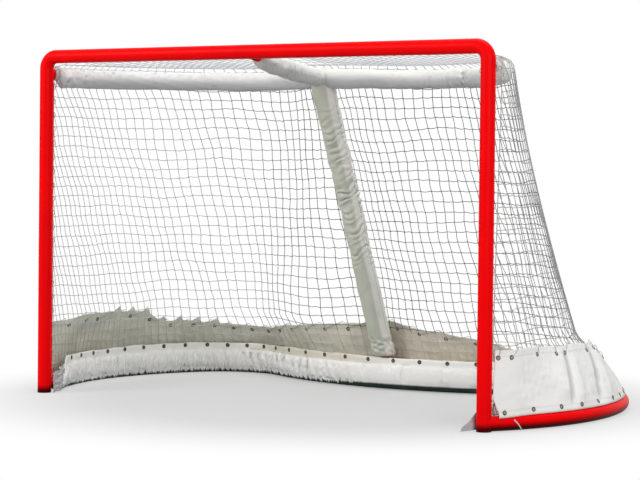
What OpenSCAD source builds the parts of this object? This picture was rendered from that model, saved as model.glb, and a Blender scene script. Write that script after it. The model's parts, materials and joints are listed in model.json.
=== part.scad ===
// Ice hockey goal: a welded tube frame with a laced net, padded tubes, a base pad and a canvas skirt.
// Millimetres, +Z up, the mouth faces -Y. The origin is on the floor under the middle of the goal.

/* [Front frame] */
// Clear width of the mouth between the posts
mouth_w = 1830; // [1700:10:1950]
// Clear height of the mouth from the floor to the crossbar
mouth_h = 1220; // [1150:10:1300]
// Outside diameter of the posts and the crossbar
frame_od = 50; // [50:1:60]
// Wall of the posts and the crossbar
frame_wall = 4; // [2:0.5:6]
// Bend radius of the top corners, on the tube's centre line
bend_r = 45; // [36:1:60]

/* [Base frame] */
// Outside diameter of the base tube
base_od = 49; // [44:1:49]
// Wall of the base tube
base_wall = 3; // [2:0.5:5]
// Radius of the base's side arcs, on the centre line
base_side_r = 845; // [780:1:920]
// Radius of each rear lobe of the base
base_lobe_r = 296; // [260:1:330]
// Distance from the middle of the goal to the centre of each lobe
base_lobe_x = 716; // [690:1:740]
// Distance from the goal line to the back of the lobes
base_lobe_y = 1092; // [1060:1:1130]
// Distance from the goal line to the dip in the middle of the base
base_dip_y = 913; // [890:1:940]

/* [Top frame] */
// Outside diameter of the top tube
top_od = 34; // [34:1:38]
// Wall of the top tube
top_wall = 3; // [2:0.5:4]
// Drop of the top tube's centre line below the crossbar's centre line
top_drop = 63; // [62:1:80]
// Radius of the top tube's side arcs, on the centre line
top_side_r = 686; // [640:1:740]
// Radius of each lobe of the top tube
top_lobe_r = 261; // [240:1:280]
// Distance from the middle of the goal to the centre of each top lobe
top_lobe_x = 363; // [345:1:380]
// Distance from the goal line to the back of the top lobes
top_lobe_y = 559; // [545:1:575]
// Distance from the goal line to the dip in the middle of the top tube
top_dip_y = 423; // [410:1:436]

/* [Centre strut and post] */
// Outside diameter of the strut and the centre post, a little thinner than the tubes they meet
stay_od = 32; // [26:1:33]
// Wall of the strut and the centre post
stay_wall = 3; // [2:0.5:4]
// Drop of the strut's front end below the crossbar's centre line
strut_drop = 13; // [6:1:16]
// How far behind the base dip the centre post's axis meets the base tube
foot_back = 6; // [0:1:8]

/* [Lacing rods] */
// Diameter of the rods that hold the net
rod_d = 8; // [6:1:10]
// Gap between a rod and the tube in front of it
rod_gap = 6; // [4:1:9]
// Diameter of the lugs that carry the rods
lug_d = 6; // [4:0.5:7]
// Distance from each end of a rod to its first lug
lug_inset = 40; // [20:5:80]
// Number of lugs on a post's rod
post_lugs = 5; // [3:1:8]
// Number of lugs on each half of the crossbar's rod
bar_lugs = 4; // [3:1:6]

/* [Padded sleeves] */
// Outside radius of a padded sleeve
pad_r = 41.5; // [36:0.5:46]
// Height of the crown that swells and draws in along a sleeve
pad_crown = 1.6; // [0:0.2:3]
// Radius to which a sleeve is drawn in at its tied ends
pad_tie_r = 25; // [22:1:30]
// Length over which a sleeve is drawn in
pad_tie_l = 26; // [15:1:40]
// Clearance between a sleeve's lining and its tube
pad_clear = 0.25; // [0.2:0.05:1]
// Gap between the tube's start at the post and its sleeve
pad_start = 46; // [40:1:60]
// Number of gathered rings on the strut's sleeve
strut_rings = 7; // [3:1:12]
// Length over which the strut's sleeve narrows towards the crossbar
strut_taper = 110; // [60:5:160]
// Height above the floor at which the centre post's sleeve ends
foot_pad_z = 148; // [146:1:170]
// Extra radius of the loose cuff at the foot of that sleeve
foot_cuff = 2; // [0:0.5:3]

/* [Base pad] */
// Height of the base pad's top edge
wedge_h = 126; // [116:1:130]
// Reach of the base pad's face inwards from the base tube's centre line
wedge_reach = 66; // [64:1:80]
// Thickness of the pad's flat top hem
wedge_hem = 7; // [5:1:8]
// Height of that hem
wedge_hem_h = 24; // [20:1:30]
// Swell of the pad's face between its hem and its toe
wedge_crown = 2; // [0:0.5:4]
// Height of the pad's upright toe
wedge_toe = 22; // [12:1:32]
// Distance by which the toe is drawn in under the face
wedge_tuck = 6; // [2:1:10]
// Clearance under the base pad
wedge_floor = 2; // [1:0.5:6]
// Thickness of the loose flap at each end of the base pad
flap_t = 2; // [1:0.5:3]
// Reach of that flap in front of the goal line
flap_reach = 61; // [40:1:70]

/* [Net] */
// Thickness of the net's twine
twine = 4; // [3:0.5:6]
// Inward sag the net would reach at the floor
net_sag = 108; // [60:2:110]
// Rows of meshes from the top tube to the skirt
net_rows = 4; // [3:1:6]
// Distance by which the net's knots clear the sleeves
net_clear = 6; // [6:0.5:9]

/* [Skirt] */
// Height of the skirt's top edge above the floor
skirt_top_z = 266; // [220:2:320]
// Thickness of the canvas
canvas = 2.4; // [1.5:0.1:3]
// Inward sag of the skirt's top edge
skirt_sag = 56; // [40:2:58]
// Height of the folds in the skirt
fold_h = 9; // [0:1:12]
// Spacing of the folds round the skirt
fold_pitch = 310; // [200:10:420]
// Rows of facets in the skirt
skirt_rows = 4; // [4:1:6]

/* [Eyelets and tie] */
// Outside diameter of an eyelet
eyelet_od = 17; // [12:1:20]
// Bore of an eyelet
eyelet_id = 9; // [6:0.5:11]
// Height of an eyelet above the cloth
eyelet_h = 1.4; // [0.8:0.2:2]
// Number of eyelets along the base pad's hem
pad_eyelets = 38; // [20:1:44]
// Diameter of the tie that holds the skirt's front corner down
tie_d = 4; // [3:0.5:5]
// Distance of that tie from the post along the base tube
tie_at = 96; // [80:2:120]

/* [Hidden] */
$fn = 48;
SEAT = 0.1;
TURNS = 10;
LINING = 6;
RING_STEP = 84;
FRAME_R = frame_od / 2;
BASE_R = base_od / 2;
TOP_R = top_od / 2;
STAY_R = stay_od / 2;
POST_X = (mouth_w + frame_od) / 2;
BAR_Z = mouth_h + FRAME_R;
POST_TOP = BAR_Z - bend_r;
BAR_HALF = POST_X - bend_r;
TOP_Z = BAR_Z - top_drop;
MID_Y = (base_lobe_y + BASE_R - flap_reach) / 2;

// Each frame's plan is three tangent arcs a side: side arc A, lobe B, then the middle dip C.
// [0 A radius, 1 A centre, 2 A start, 3 A end, 4 B radius, 5 B centre, 6 B end, 7 C radius, 8 C centre]
// The side arc starts at the post, and its centre is where it also touches the lobe from outside.
function plan(side_r, lobe_x, lobe_r, lobe_y, dip_y) =
    let(post = [POST_X, 0], cb = [lobe_x, lobe_y - lobe_r], d = norm(cb - post), e = (cb - post) / d)
    let(a = (d * d + 2 * side_r * lobe_r - lobe_r * lobe_r) / (2 * d), h = sqrt(side_r * side_r - a * a))
    let(ca = post + a * e + h * [-e[1], e[0]])
    let(rc = (lobe_x * lobe_x + pow(cb[1] - dip_y, 2) - lobe_r * lobe_r) / (2 * (lobe_y - dip_y)))
    let(cc = [0, dip_y + rc])
    [side_r, ca, atan2(-ca[1], POST_X - ca[0]), atan2(cb[1] - ca[1], cb[0] - ca[0]),
     lobe_r, cb, atan2(cc[1] - cb[1], cc[0] - cb[0]), rc, cc];

function arc_len(r, a, b) = r * abs(b - a) * PI / 180;
function len_a(p) = arc_len(p[0], p[2], p[3]);
function len_b(p) = arc_len(p[4], p[3], p[6]);
function len_c(p) = arc_len(p[7], p[6] - 180, -90);
function len_half(p) = len_a(p) + len_b(p) + len_c(p);

// A point of the plan and its outward normal, at distance s from the right post.
function on_arc(c, r, a, side) = let(n = [cos(a), sin(a)]) [c + r * n, side * n];
function right_at(p, s) =
    s < len_a(p) ? on_arc(p[1], p[0], p[2] + s / p[0] * 180 / PI, 1)
    : s < len_a(p) + len_b(p) ? on_arc(p[5], p[4], p[3] + (s - len_a(p)) / p[4] * 180 / PI, 1)
    : on_arc(p[8], p[7], p[6] - 180 - (s - len_a(p) - len_b(p)) / p[7] * 180 / PI, -1);
function flip(q) = [[-q[0][0], q[0][1]], [-q[1][0], q[1][1]]];
function plan_at(p, s) = s <= len_half(p) ? right_at(p, s) : flip(right_at(p, 2 * len_half(p) - s));

BASE = plan(base_side_r, base_lobe_x, base_lobe_r, base_lobe_y, base_dip_y);
TOP = plan(top_side_r, top_lobe_x, top_lobe_r, top_lobe_y, top_dip_y);
BASE_L = len_half(BASE);
TOP_L = len_half(TOP);

STRUT_A = [0, 0, BAR_Z - strut_drop];
HUB = [0, top_dip_y, TOP_Z];
FOOT = [0, base_dip_y + foot_back, BASE_R];

function unit(v) = v / norm(v);
function smooth(x) = let(t = min(1, max(0, x))) t * t * (3 - 2 * t);
function bell(x, w) = exp(-pow(x / w, 2));

// ---- Net surface: w runs 0 to 2 from the right post round to the left, v 0 to 1 from top to floor.
CORNER = 0.71 * twine;
NET_R = pad_r + pad_crown + net_clear + twine / 2;
ROD_SEAT = 0.35;
NET_Y = FRAME_R + rod_gap + rod_d + twine / 2 + ROD_SEAT;
NET_ANGLE = 75;
NET_TOP_S = 41;
NET_BASE_S = 35;
NET_START_R = 36;
NET_FOOT_OFF = 1.5;
NET_TURN = 22;
NET_LEAD = 40;
FOOT_RISE = 13.5;
FOOT_REACH = 60;
BUMP = 31;
BUMP_REACH = 140;
POST_SWELL = 22;
SWELL_REACH = 90;
HANG_POST = 220;
HANG_MID = 260;
function along(w, start, half) = w <= 1 ? start + w * (half - start) : 2 * half - along(2 - w, start, half);
function from_end(s, half) = min(s, 2 * half - s);
function put(q, o, z) = [q[0][0] + o * q[1][0], q[0][1] + o * q[1][1], z];
function base_s(w) = along(w, 0, BASE_L);
function at_post(w, reach) = bell(from_end(base_s(w), BASE_L), reach);
function at_centre(w, reach) = bell(base_s(w) - BASE_L, reach);

// The net leaves the post close to the tube and swells out over the sleeve.
function net_r(s) =
    NET_START_R + (NET_R - NET_START_R) * smooth((from_end(s, TOP_L) - NET_TOP_S) / NET_LEAD);
function top_crest(w, a) =
    let(s = along(w, NET_TOP_S, TOP_L), r = net_r(s))
    put(plan_at(TOP, s), r * sin(a), TOP_Z + r * cos(a));
function net_head(w) = top_crest(w, NET_ANGLE);
function net_foot(w) =
    let(s = along(w, NET_BASE_S, BASE_L))
    let(turn = (NET_FOOT_OFF + NET_TURN) * at_post(w, FOOT_REACH))
    let(o = NET_FOOT_OFF - turn + FOOT_RISE * at_centre(w, FOOT_REACH))
    put(plan_at(BASE, s), o, base_od + CORNER + SEAT);
function net_out(w) =
    let(a = plan_at(TOP, along(w, NET_TOP_S, TOP_L))[1], b = plan_at(BASE, along(w, NET_BASE_S, BASE_L))[1])
    unit([a[0] + b[0], a[1] + b[1], 0]);
function hang(w) = (1 - at_post(w, HANG_POST)) * (1 - at_centre(w, HANG_MID));
function sag(v) = net_sag * pow(v, 1.45);
function bulge(w, v) = BUMP * v * at_centre(w, BUMP_REACH);
function net_line(w, v) = net_head(w) * (1 - v) + net_foot(w) * v;
function net_upper(w, v) = net_line(w, v) + (bulge(w, v) - sag(v) * hang(w)) * net_out(w);

// ---- Skirt surface: w as on the net, t 0 at its top edge and 1 at its hem.
HEM_S = 45;
HEM_OFF = 11;
HEM_SPREAD = 9;
HEM_POST_REACH = 90;
HEM_MID_REACH = 130;
HEM_POST_DROP = 6;
HEM_MID_DROP = 8;
HEM_GAP = 0.5;
SKIRT_OFF = 8;
SKIRT_SPREAD = 7;
SPREAD_REACH = 100;
FOLD_START = 260;
SKIRT_IN = 0.012;
SKIRT_V = (net_head(1)[2] - skirt_top_z) / (net_head(1)[2] - net_foot(1)[2]);
function inset(w) = w <= 1 ? w + (1 - w) * SKIRT_IN : 2 - inset(2 - w);
function hem_at(w) =
    let(post = at_post(w, HEM_POST_REACH), mid = at_centre(w, HEM_MID_REACH))
    let(z = base_od + HEM_GAP - HEM_POST_DROP * post - HEM_MID_DROP * mid)
    put(plan_at(BASE, along(w, HEM_S, BASE_L)), HEM_OFF + HEM_SPREAD * (post + mid), z);
function skirt_head(w) =
    let(k = inset(w), spread = SKIRT_SPREAD * at_post(k, SPREAD_REACH) - skirt_sag * hang(k))
    let(q = net_line(k, SKIRT_V) + (bulge(k, SKIRT_V) + SKIRT_OFF + spread) * net_out(k))
    [q[0], q[1], skirt_top_z];
function fold(w, t) =
    fold_h / 2 * (1 + sin(360 * base_s(w) / fold_pitch + 40 * t)) * sin(180 * t)
    * smooth(from_end(base_s(w), BASE_L) / FOLD_START - 0.3);
function skirt_line(w, t) =
    skirt_head(w) * (1 - t) + hem_at(w) * t
    + POST_SWELL * sin(180 * t) * at_centre(w, SWELL_REACH) * net_out(w);
function skirt_at(w, t) = skirt_line(w, t) + fold(w, t) * net_out(w);

// Below the skirt's top edge the net runs down just inside the skirt to the base tube.
LOW_T = 0.62;
LOW_GAP = 9;
function net_low(w) = skirt_line(w, LOW_T) - LOW_GAP * net_out(w);

// ---- Top panel: t 0 at the crossbar's rod, 1 on the crown of the sleeve, then round its shoulder.
ROD_HALF = BAR_HALF - 20;
STRUT_RISE = 21;
RISE_REACH = 70;
TOP_ROWS = [0, 0.35, 1, 1.5, 2];
function top_front(w) = [(ROD_HALF - 2) * (1 - w), NET_Y, BAR_Z];
function top_at(w, t) =
    t == 2 ? net_head(w) + [0, 0, 2 * CORNER + SEAT]
    : t > 1 ? top_crest(w, NET_ANGLE * (t - 1))
    : top_front(w) * (1 - t) + top_crest(w, 0) * t
      + [0, 0, STRUT_RISE * cos(90 * t) * bell(top_front(w)[0], RISE_REACH)];

// ---- Column lines, as fractions of each half: side arc, lobe and dip each split evenly.
function splits(p) = [0, len_a(p) / len_half(p), (len_a(p) + len_b(p)) / len_half(p), 1];
function columns(p, n) = let(f = splits(p))
    [for (k = [0:2], i = [0:n[k] - 1]) f[k] + (f[k + 1] - f[k]) * i / n[k], 1];
function around(half) = [each half, for (i = [len(half) - 2:-1:0]) 2 - half[i]];
function with_start(half, w) = [half[0], w, for (i = [1:len(half) - 1]) half[i]];
NET_GRID = [for (w = around(with_start(columns(BASE, [4, 4, 4]), 0.03)))
    concat([for (j = [0:net_rows]) net_upper(w, SKIRT_V * j / net_rows)], [net_low(w), net_foot(w)])];
TOP_GRID = [for (w = around(with_start(columns(TOP, [4, 2, 2]), 0.035))) [for (t = TOP_ROWS) top_at(w, t)]];
SKIRT_GRID = [for (w = around(columns(BASE, [9, 5, 5])))
    [for (j = [0:skirt_rows]) skirt_at(w, j / skirt_rows)]];

// A strip of knotted mesh between columns a and b of a grid, as one closed solid. Each knot is a cube
// whose faces look along its four strands. Neighbouring strips stop SPLIT_GAP apart.
SPLIT_GAP = 0.12;
function step_dir(p, q) = unit(q - p);
function across(g, i, j) = step_dir(g[max(0, i - 1)][j], g[min(len(g) - 1, i + 1)][j]);
function down(g, i, j) = step_dir(g[i][max(0, j - 1)], g[i][min(len(g[i]) - 1, j + 1)]);
function end_shift(i, a, b, d) = i == a ? d : i == b ? -d : 0;
function knot(p, du, dv) =
    let(n = unit(cross(du, dv)), v = unit(cross(n, du)), h = twine / 2)
    [for (k = [-1, 1], c = [[-1, -1], [1, -1], [1, 1], [-1, 1]]) p + h * (c[0] * du + c[1] * v + k * n)];
function quad(a, b, c, d) = [[a, b, c], [a, c, d]];

module mesh_strip(g, a, b) {
    m = b - a;
    n = len(g[0]) - 1;
    knots = [for (i = [a:b], j = [0:n])
        let(du = across(g, i, j))
        each knot(g[i][j] + end_shift(i, a, b, twine / 2 + SPLIT_GAP) * du, du, down(g, i, j))];
    function id(i, j, c) = 8 * ((n + 1) * i + j) + c;
    faces = [for (i = [0:m], j = [0:n]) each [
        each quad(id(i, j, 0), id(i, j, 1), id(i, j, 2), id(i, j, 3)),
        each quad(id(i, j, 7), id(i, j, 6), id(i, j, 5), id(i, j, 4)),
        if (i == 0) each quad(id(i, j, 0), id(i, j, 3), id(i, j, 7), id(i, j, 4)),
        if (i == m) each quad(id(i, j, 2), id(i, j, 1), id(i, j, 5), id(i, j, 6)),
        if (j == 0) each quad(id(i, j, 1), id(i, j, 0), id(i, j, 4), id(i, j, 5)),
        if (j == n) each quad(id(i, j, 3), id(i, j, 2), id(i, j, 6), id(i, j, 7)),
        if (i < m) each quad(id(i, j, 2), id(i, j, 1), id(i + 1, j, 0), id(i + 1, j, 3)),
        if (i < m) each quad(id(i, j, 6), id(i, j, 2), id(i + 1, j, 3), id(i + 1, j, 7)),
        if (i < m) each quad(id(i, j, 5), id(i, j, 6), id(i + 1, j, 7), id(i + 1, j, 4)),
        if (i < m) each quad(id(i, j, 1), id(i, j, 5), id(i + 1, j, 4), id(i + 1, j, 0)),
        if (j < n) each quad(id(i, j, 3), id(i, j, 2), id(i, j + 1, 1), id(i, j + 1, 0)),
        if (j < n) each quad(id(i, j, 2), id(i, j, 6), id(i, j + 1, 5), id(i, j + 1, 1)),
        if (j < n) each quad(id(i, j, 6), id(i, j, 7), id(i, j + 1, 4), id(i, j + 1, 5)),
        if (j < n) each quad(id(i, j, 3), id(i, j + 1, 0), id(i, j + 1, 4), id(i, j, 7))]];
    polyhedron(knots, faces, convexity = 20);
}

// A sheet of thickness t through columns a to b of a grid, as one closed solid.
module sheet(g, a, b, t) {
    m = b - a;
    n = len(g[0]) - 1;
    points = [for (k = [-1, 1], i = [a:b], j = [0:n])
        let(du = across(g, i, j))
        g[i][j] + k * t / 2 * unit(cross(du, down(g, i, j))) + end_shift(i, a, b, SPLIT_GAP) * du];
    function id(k, i, j) = (k * (m + 1) + i) * (n + 1) + j;
    faces = [
        for (i = [0:m - 1], j = [0:n - 1]) each concat(
            quad(id(0, i, j), id(0, i + 1, j), id(0, i + 1, j + 1), id(0, i, j + 1)),
            quad(id(1, i, j), id(1, i, j + 1), id(1, i + 1, j + 1), id(1, i + 1, j))),
        for (i = [0:m - 1]) each concat(
            quad(id(0, i + 1, 0), id(0, i, 0), id(1, i, 0), id(1, i + 1, 0)),
            quad(id(0, i, n), id(0, i + 1, n), id(1, i + 1, n), id(1, i, n))),
        for (j = [0:n - 1]) each concat(
            quad(id(0, 0, j), id(0, 0, j + 1), id(1, 0, j + 1), id(1, 0, j)),
            quad(id(0, m, j + 1), id(0, m, j), id(1, m, j), id(1, m, j + 1)))];
    polyhedron(points, faces, convexity = 10);
}

// ---- Tube pieces
module goal() {
    translate([0, -MID_Y, 0]) children();
}

module bent(c, r, a, b, z, tube_r, wall) {
    translate([c[0], c[1], z])
        rotate([0, 0, min(a, b)])
            rotate_extrude(angle = abs(b - a), $fn = 160)
                translate([r, 0])
                    difference() {
                        circle(tube_r);
                        circle(tube_r - wall);
                    }
}

module stay(a, b, r) {
    d = b - a;
    translate(a)
        rotate([atan2(norm([d[0], d[1]]), d[2]), 0, d[1] >= 0 ? 180 : 0])
            cylinder(r = r, h = norm(d));
}

module post(side) {
    color("red") goal()
        translate([side * POST_X, 0, 0])
            difference() {
                cylinder(r = FRAME_R, h = POST_TOP);
                translate([0, 0, -1])
                    cylinder(r = FRAME_R - frame_wall, h = POST_TOP + 2);
            }
}

module corner(side) {
    color("red") goal()
        translate([side * BAR_HALF, 0, POST_TOP])
            rotate([90, 0, 0])
                rotate([0, 0, side > 0 ? 0 : 90])
                    rotate_extrude(angle = 90, $fn = 96)
                        translate([bend_r, 0])
                            difference() {
                                circle(FRAME_R);
                                circle(FRAME_R - frame_wall);
                            }
}

module crossbar() {
    color("red") goal()
        translate([-BAR_HALF, 0, BAR_Z])
            rotate([0, 90, 0])
                difference() {
                    cylinder(r = FRAME_R, h = 2 * BAR_HALF);
                    translate([0, 0, -1])
                        cylinder(r = FRAME_R - frame_wall, h = 2 * BAR_HALF + 2);
                }
}

// The side arcs are coped where they meet the posts.
module side_arc(p, side, z, r, wall) {
    color("red") goal() mirror([side > 0 ? 0 : 1, 0, 0])
        difference() {
            bent(p[1], p[0], p[2], p[3], z, r, wall);
            translate([POST_X, 0, z - 2 * r])
                cylinder(r = FRAME_R, h = 4 * r);
        }
}

module lobe_arc(p, side, z, r, wall) {
    color("red") goal() mirror([side > 0 ? 0 : 1, 0, 0]) bent(p[5], p[4], p[3], p[6], z, r, wall);
}

module dip_arc(p, z, r, wall) {
    a = p[6] - 180;
    color("red") goal() bent(p[8], p[7], a, -180 - a, z, r, wall);
}

// The strut is coped to the crossbar and to the top tube, and the centre post to both bent tubes.
// Both stop at the plane that halves the angle between them.
STRUT_DIR = unit(HUB - STRUT_A);
STAY_DIR = unit(FOOT - HUB);
MITRE = unit(STRUT_DIR + STAY_DIR);
STRUT_LIP = 12;

module hollow_stay(a, b) {
    difference() {
        stay(a, b, STAY_R);
        stay(a, b, STAY_R - stay_wall);
    }
}

module mitre_block(side) {
    translate(HUB)
        rotate([atan2(MITRE[2], MITRE[1]), 0, 0])
            translate([-50, side > 0 ? 0 : -100, -50])
                cube(100);
}

// The middle of a bent tube, as a solid to cope with.
module dip_core(p, z, r) {
    a = 180 * 60 / (PI * p[7]);
    translate([0, p[8][1], z])
        rotate([0, 0, -90 - a])
            rotate_extrude(angle = 2 * a, $fn = 160)
                translate([p[7], 0])
                    circle(r);
}

module centre_strut() {
    color("red") goal()
        difference() {
            hollow_stay(STRUT_A, HUB);
            translate([-50, 0, BAR_Z])
                rotate([0, 90, 0])
                    cylinder(r = FRAME_R, h = 100);
            translate([-50, STRUT_LIP - 100, BAR_Z - 50])
                cube(100);
            dip_core(TOP, TOP_Z, TOP_R);
            mitre_block(1);
        }
}

module centre_post() {
    color("red") goal()
        difference() {
            hollow_stay(HUB, FOOT);
            dip_core(TOP, TOP_Z, TOP_R);
            dip_core(BASE, BASE_R, BASE_R);
            mitre_block(-1);
        }
}

// ---- Lacing rods
module rod(length, count) {
    reach = rod_gap + rod_d / 2;
    union() {
        cylinder(d = rod_d, h = length);
        for (k = [0:count - 1])
            translate([0, 0, lug_inset + (length - 2 * lug_inset) * k / (count - 1)])
                rotate([90, 0, 0])
                    cylinder(d = lug_d, h = reach + FRAME_R / 2);
    }
}

module post_rod(side) {
    low = base_od + 12;
    color("red") goal()
        difference() {
            translate([side * POST_X, FRAME_R + rod_gap + rod_d / 2, low])
                rod(TOP_Z - TOP_R - 14 - low, post_lugs);
            translate([side * POST_X, 0, 0])
                cylinder(r = FRAME_R, h = POST_TOP);
        }
}

module lacing_rod_crossbar() {
    start = pad_r + pad_crown + 3;
    color("red") goal()
        for (side = [-1, 1])
            difference() {
                translate([side * start, FRAME_R + rod_gap + rod_d / 2, BAR_Z])
                    rotate([0, side * 90, 0])
                        rod(ROD_HALF - start, bar_lugs);
                translate([-BAR_HALF, 0, BAR_Z])
                    rotate([0, 90, 0])
                        cylinder(r = FRAME_R, h = 2 * BAR_HALF);
            }
}

// ---- Padded sleeves
SLEEVE_END = pad_r + pad_crown + 1;
function sleeve_r(s, a, b) =
    let(e = min(s - a, b - s), tie = sqrt(max(0, 1 - pow(1 - min(1, e / pad_tie_l), 2))))
    pad_tie_r + (pad_r - pad_tie_r) * tie + pad_crown * tie * sin(360 * s / 210);
function ring_at(p, s, r, n, z) = let(q = plan_at(p, s))
    [for (k = [0:n - 1]) put(q, r * cos(360 * (k + 0.5) / n), z + r * sin(360 * (k + 0.5) / n))];

// Outside rings of the padding, then inside rings of the lining, joined at both tied ends.
module top_sleeve(side) {
    a = pad_start;
    b = TOP_L - SLEEVE_END;
    m = ceil((b - a) / RING_STEP);
    stops = [a, a + 5, a + 14, for (i = [1:m - 1]) a + (b - a) * i / m, b - 14, b - 5, b];
    outer = [for (s = stops) ring_at(TOP, s, sleeve_r(s, a, b), TURNS, TOP_Z)];
    bore = (TOP_R + pad_clear + RING_STEP * RING_STEP / (8 * TOP[4])) / cos(180 / LINING);
    inner = [for (i = [0:m]) ring_at(TOP, a + (b - a) * i / m, bore, LINING, TOP_Z)];
    no = len(outer) - 1;
    base = len(outer) * TURNS;
    function o(i, k) = i * TURNS + k % TURNS;
    function c(i, k) = base + i * LINING + k % LINING;
    faces = [
        for (i = [0:no - 1], k = [0:TURNS - 1])
            each quad(o(i, k), o(i, k + 1), o(i + 1, k + 1), o(i + 1, k)),
        for (i = [0:m - 1], k = [0:LINING - 1])
            each quad(c(i, k + 1), c(i, k), c(i + 1, k), c(i + 1, k + 1)),
        each annulus(function(k) o(0, k), function(k) c(0, k), false),
        each annulus(function(k) o(no, k), function(k) c(m, k), true)];
    color("ivory") goal() mirror([side > 0 ? 0 : 1, 0, 0])
        polyhedron([for (r = outer) each r, for (r = inner) each r], faces, convexity = 10);
}

// Triangles between a ring of TURNS points and one of LINING points round the same axis.
function annulus(out, in, ahead) = let(f = [
    for (k = [0:TURNS - 1]) let(j = round((k + 1) * LINING / TURNS) % LINING) [out(k), in(j), out(k + 1)],
    for (j = [0:LINING - 1], k = [0:TURNS - 1])
        if (round(k * LINING / TURNS) <= j && round((k + 1) * LINING / TURNS) > j)
            [in(j), in(j + 1), out(k)]])
    ahead ? [for (t = f) [t[2], t[1], t[0]]] : f;

module straight_sleeve(a, b, profile) {
    d = b - a;
    translate(a)
        rotate([atan2(norm([d[0], d[1]]), d[2]), 0, d[1] >= 0 ? 180 : 0])
            rotate_extrude($fn = 64)
                polygon(profile);
}

STRUT_L = norm(HUB - STRUT_A);
SLEEVE_TURN = 27;
function round_in(e) = let(k = min(1, e)) sqrt(k * (2 - k));
function strut_r(z, a, b) =
    let(full = sin(90 * min(1, (z - a) / strut_taper)) * round_in(0.3 + (b - z) / 16))
    pad_tie_r + (pad_r - pad_tie_r) * full;
function strut_profile(a, b) = let(r0 = STAY_R + pad_clear, n = 4 * strut_rings)
    [[r0, a], for (i = [0:n]) let(z = a + (b - a) * i / n)
        [strut_r(z, a, b) + pad_crown / 2 * sin(90 * i) * sin(180 * i / n), z], [r0, b]];

module strut_pad() {
    color("ivory") goal() straight_sleeve(STRUT_A, HUB, strut_profile(FRAME_R + 8, STRUT_L - SLEEVE_TURN));
}

POST_L = norm(FOOT - HUB);
function post_profile(a, b) = let(r0 = STAY_R + pad_clear)
    [[r0, a], [pad_r - 8, a], [pad_r - 1, a + 8], [pad_r, a + 40],
     for (i = [0:9]) [pad_r + pad_crown * (i % 2 == 0 ? 1 : -0.5), a + 110 + 24 * i],
     [pad_r, a + 360], [pad_r - pad_crown, a + 520], [pad_r, a + 700], [pad_r - pad_crown, b - 200],
     [pad_r + 1, b - 90], [pad_r + foot_cuff / 2, b - 40], [pad_r + foot_cuff, b - 12],
     [pad_r, b], [r0, b]];

module centre_post_pad() {
    drop = (HUB[2] - foot_pad_z) / (HUB[2] - FOOT[2]) * POST_L;
    color("ivory") goal() straight_sleeve(HUB, FOOT, post_profile(SLEEVE_TURN, drop));
}

// ---- Base pad: a wedge of foam in vinyl inside the base tube. Profile as inward reach and height.
TUBE_SEAT = 0.15;
HEM_FOOT = wedge_h - wedge_hem_h;
HEM_BACK = wedge_reach - wedge_hem;
module wedge_profile() {
    difference() {
        polygon([
            [18, base_od - 7], [30, base_od + 11], [HEM_BACK - 9, HEM_FOOT - 10], [HEM_BACK, HEM_FOOT],
            [HEM_BACK, wedge_h - 2], [HEM_BACK + 2, wedge_h], [wedge_reach - 2, wedge_h],
            [wedge_reach, wedge_h - 2],
            [wedge_reach, HEM_FOOT], [wedge_reach + wedge_crown, HEM_FOOT - 12],
            [wedge_reach + wedge_crown - 1, HEM_FOOT - 38], [wedge_reach - 3, wedge_toe + 10],
            [wedge_reach - wedge_tuck, wedge_toe], [wedge_reach - wedge_tuck, wedge_floor + 3],
            [wedge_reach - wedge_tuck - 3, wedge_floor], [BASE_R - 6, wedge_floor], [BASE_R - 8, BASE_R]]);
        translate([0, BASE_R]) circle(BASE_R + TUBE_SEAT);
    }
}

module wedge_arc(c, r, a, b, inside) {
    translate([c[0], c[1], 0])
        rotate([0, 0, min(a, b)])
            rotate_extrude(angle = abs(b - a), $fn = 160)
                translate([r, 0])
                    mirror([inside ? 1 : 0, 0])
                        wedge_profile();
}

WEDGE_S = 62;
module base_pad_side(side) {
    color("white") goal() mirror([side > 0 ? 0 : 1, 0, 0])
        wedge_arc(BASE[1], BASE[0], BASE[2] + WEDGE_S / BASE[0] * 180 / PI, BASE[3], true);
}

module base_pad_lobe(side) {
    color("white") goal() mirror([side > 0 ? 0 : 1, 0, 0])
        wedge_arc(BASE[5], BASE[4], BASE[3], BASE[6], true);
}

module base_pad_rear() {
    a = BASE[6] - 180;
    color("white") goal()
        difference() {
            wedge_arc(BASE[8], BASE[7], a, -180 - a, false);
            stay(HUB, FOOT, STAY_R + pad_clear);
        }
}

// The loose flap at each end of the base pad, from the pad round the post's inner side to the floor.
FLAP_END = plan_at(BASE, WEDGE_S - 0.3 * flap_t);
FLAP = [
    put(FLAP_END, -wedge_reach + 2, HEM_FOOT),
    put(FLAP_END, -wedge_reach + wedge_tuck + 2, 4),
    [POST_X - 52, 1 - flap_reach, 2.5]];
module flap(side) {
    n = unit(cross(FLAP[1] - FLAP[0], FLAP[2] - FLAP[0]));
    color("gray") goal() mirror([side > 0 ? 0 : 1, 0, 0])
        polyhedron([for (k = [-0.5, 0.5], p = FLAP) p + k * flap_t * n],
            [[0, 1, 2], [5, 4, 3], [0, 3, 4], [0, 4, 1], [1, 4, 5], [1, 5, 2], [2, 5, 3], [2, 3, 0]]);
}

// ---- Net and skirt panels, each split where its frame bends
module strips(g, bounds) {
    color("white") goal()
        for (k = [0:len(bounds) - 2])
            mesh_strip(g, bounds[k], bounds[k + 1]);
}

module panels(g, bounds) {
    color("beige") goal()
        for (k = [0:len(bounds) - 2])
            sheet(g, bounds[k], bounds[k + 1], canvas);
}

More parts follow.
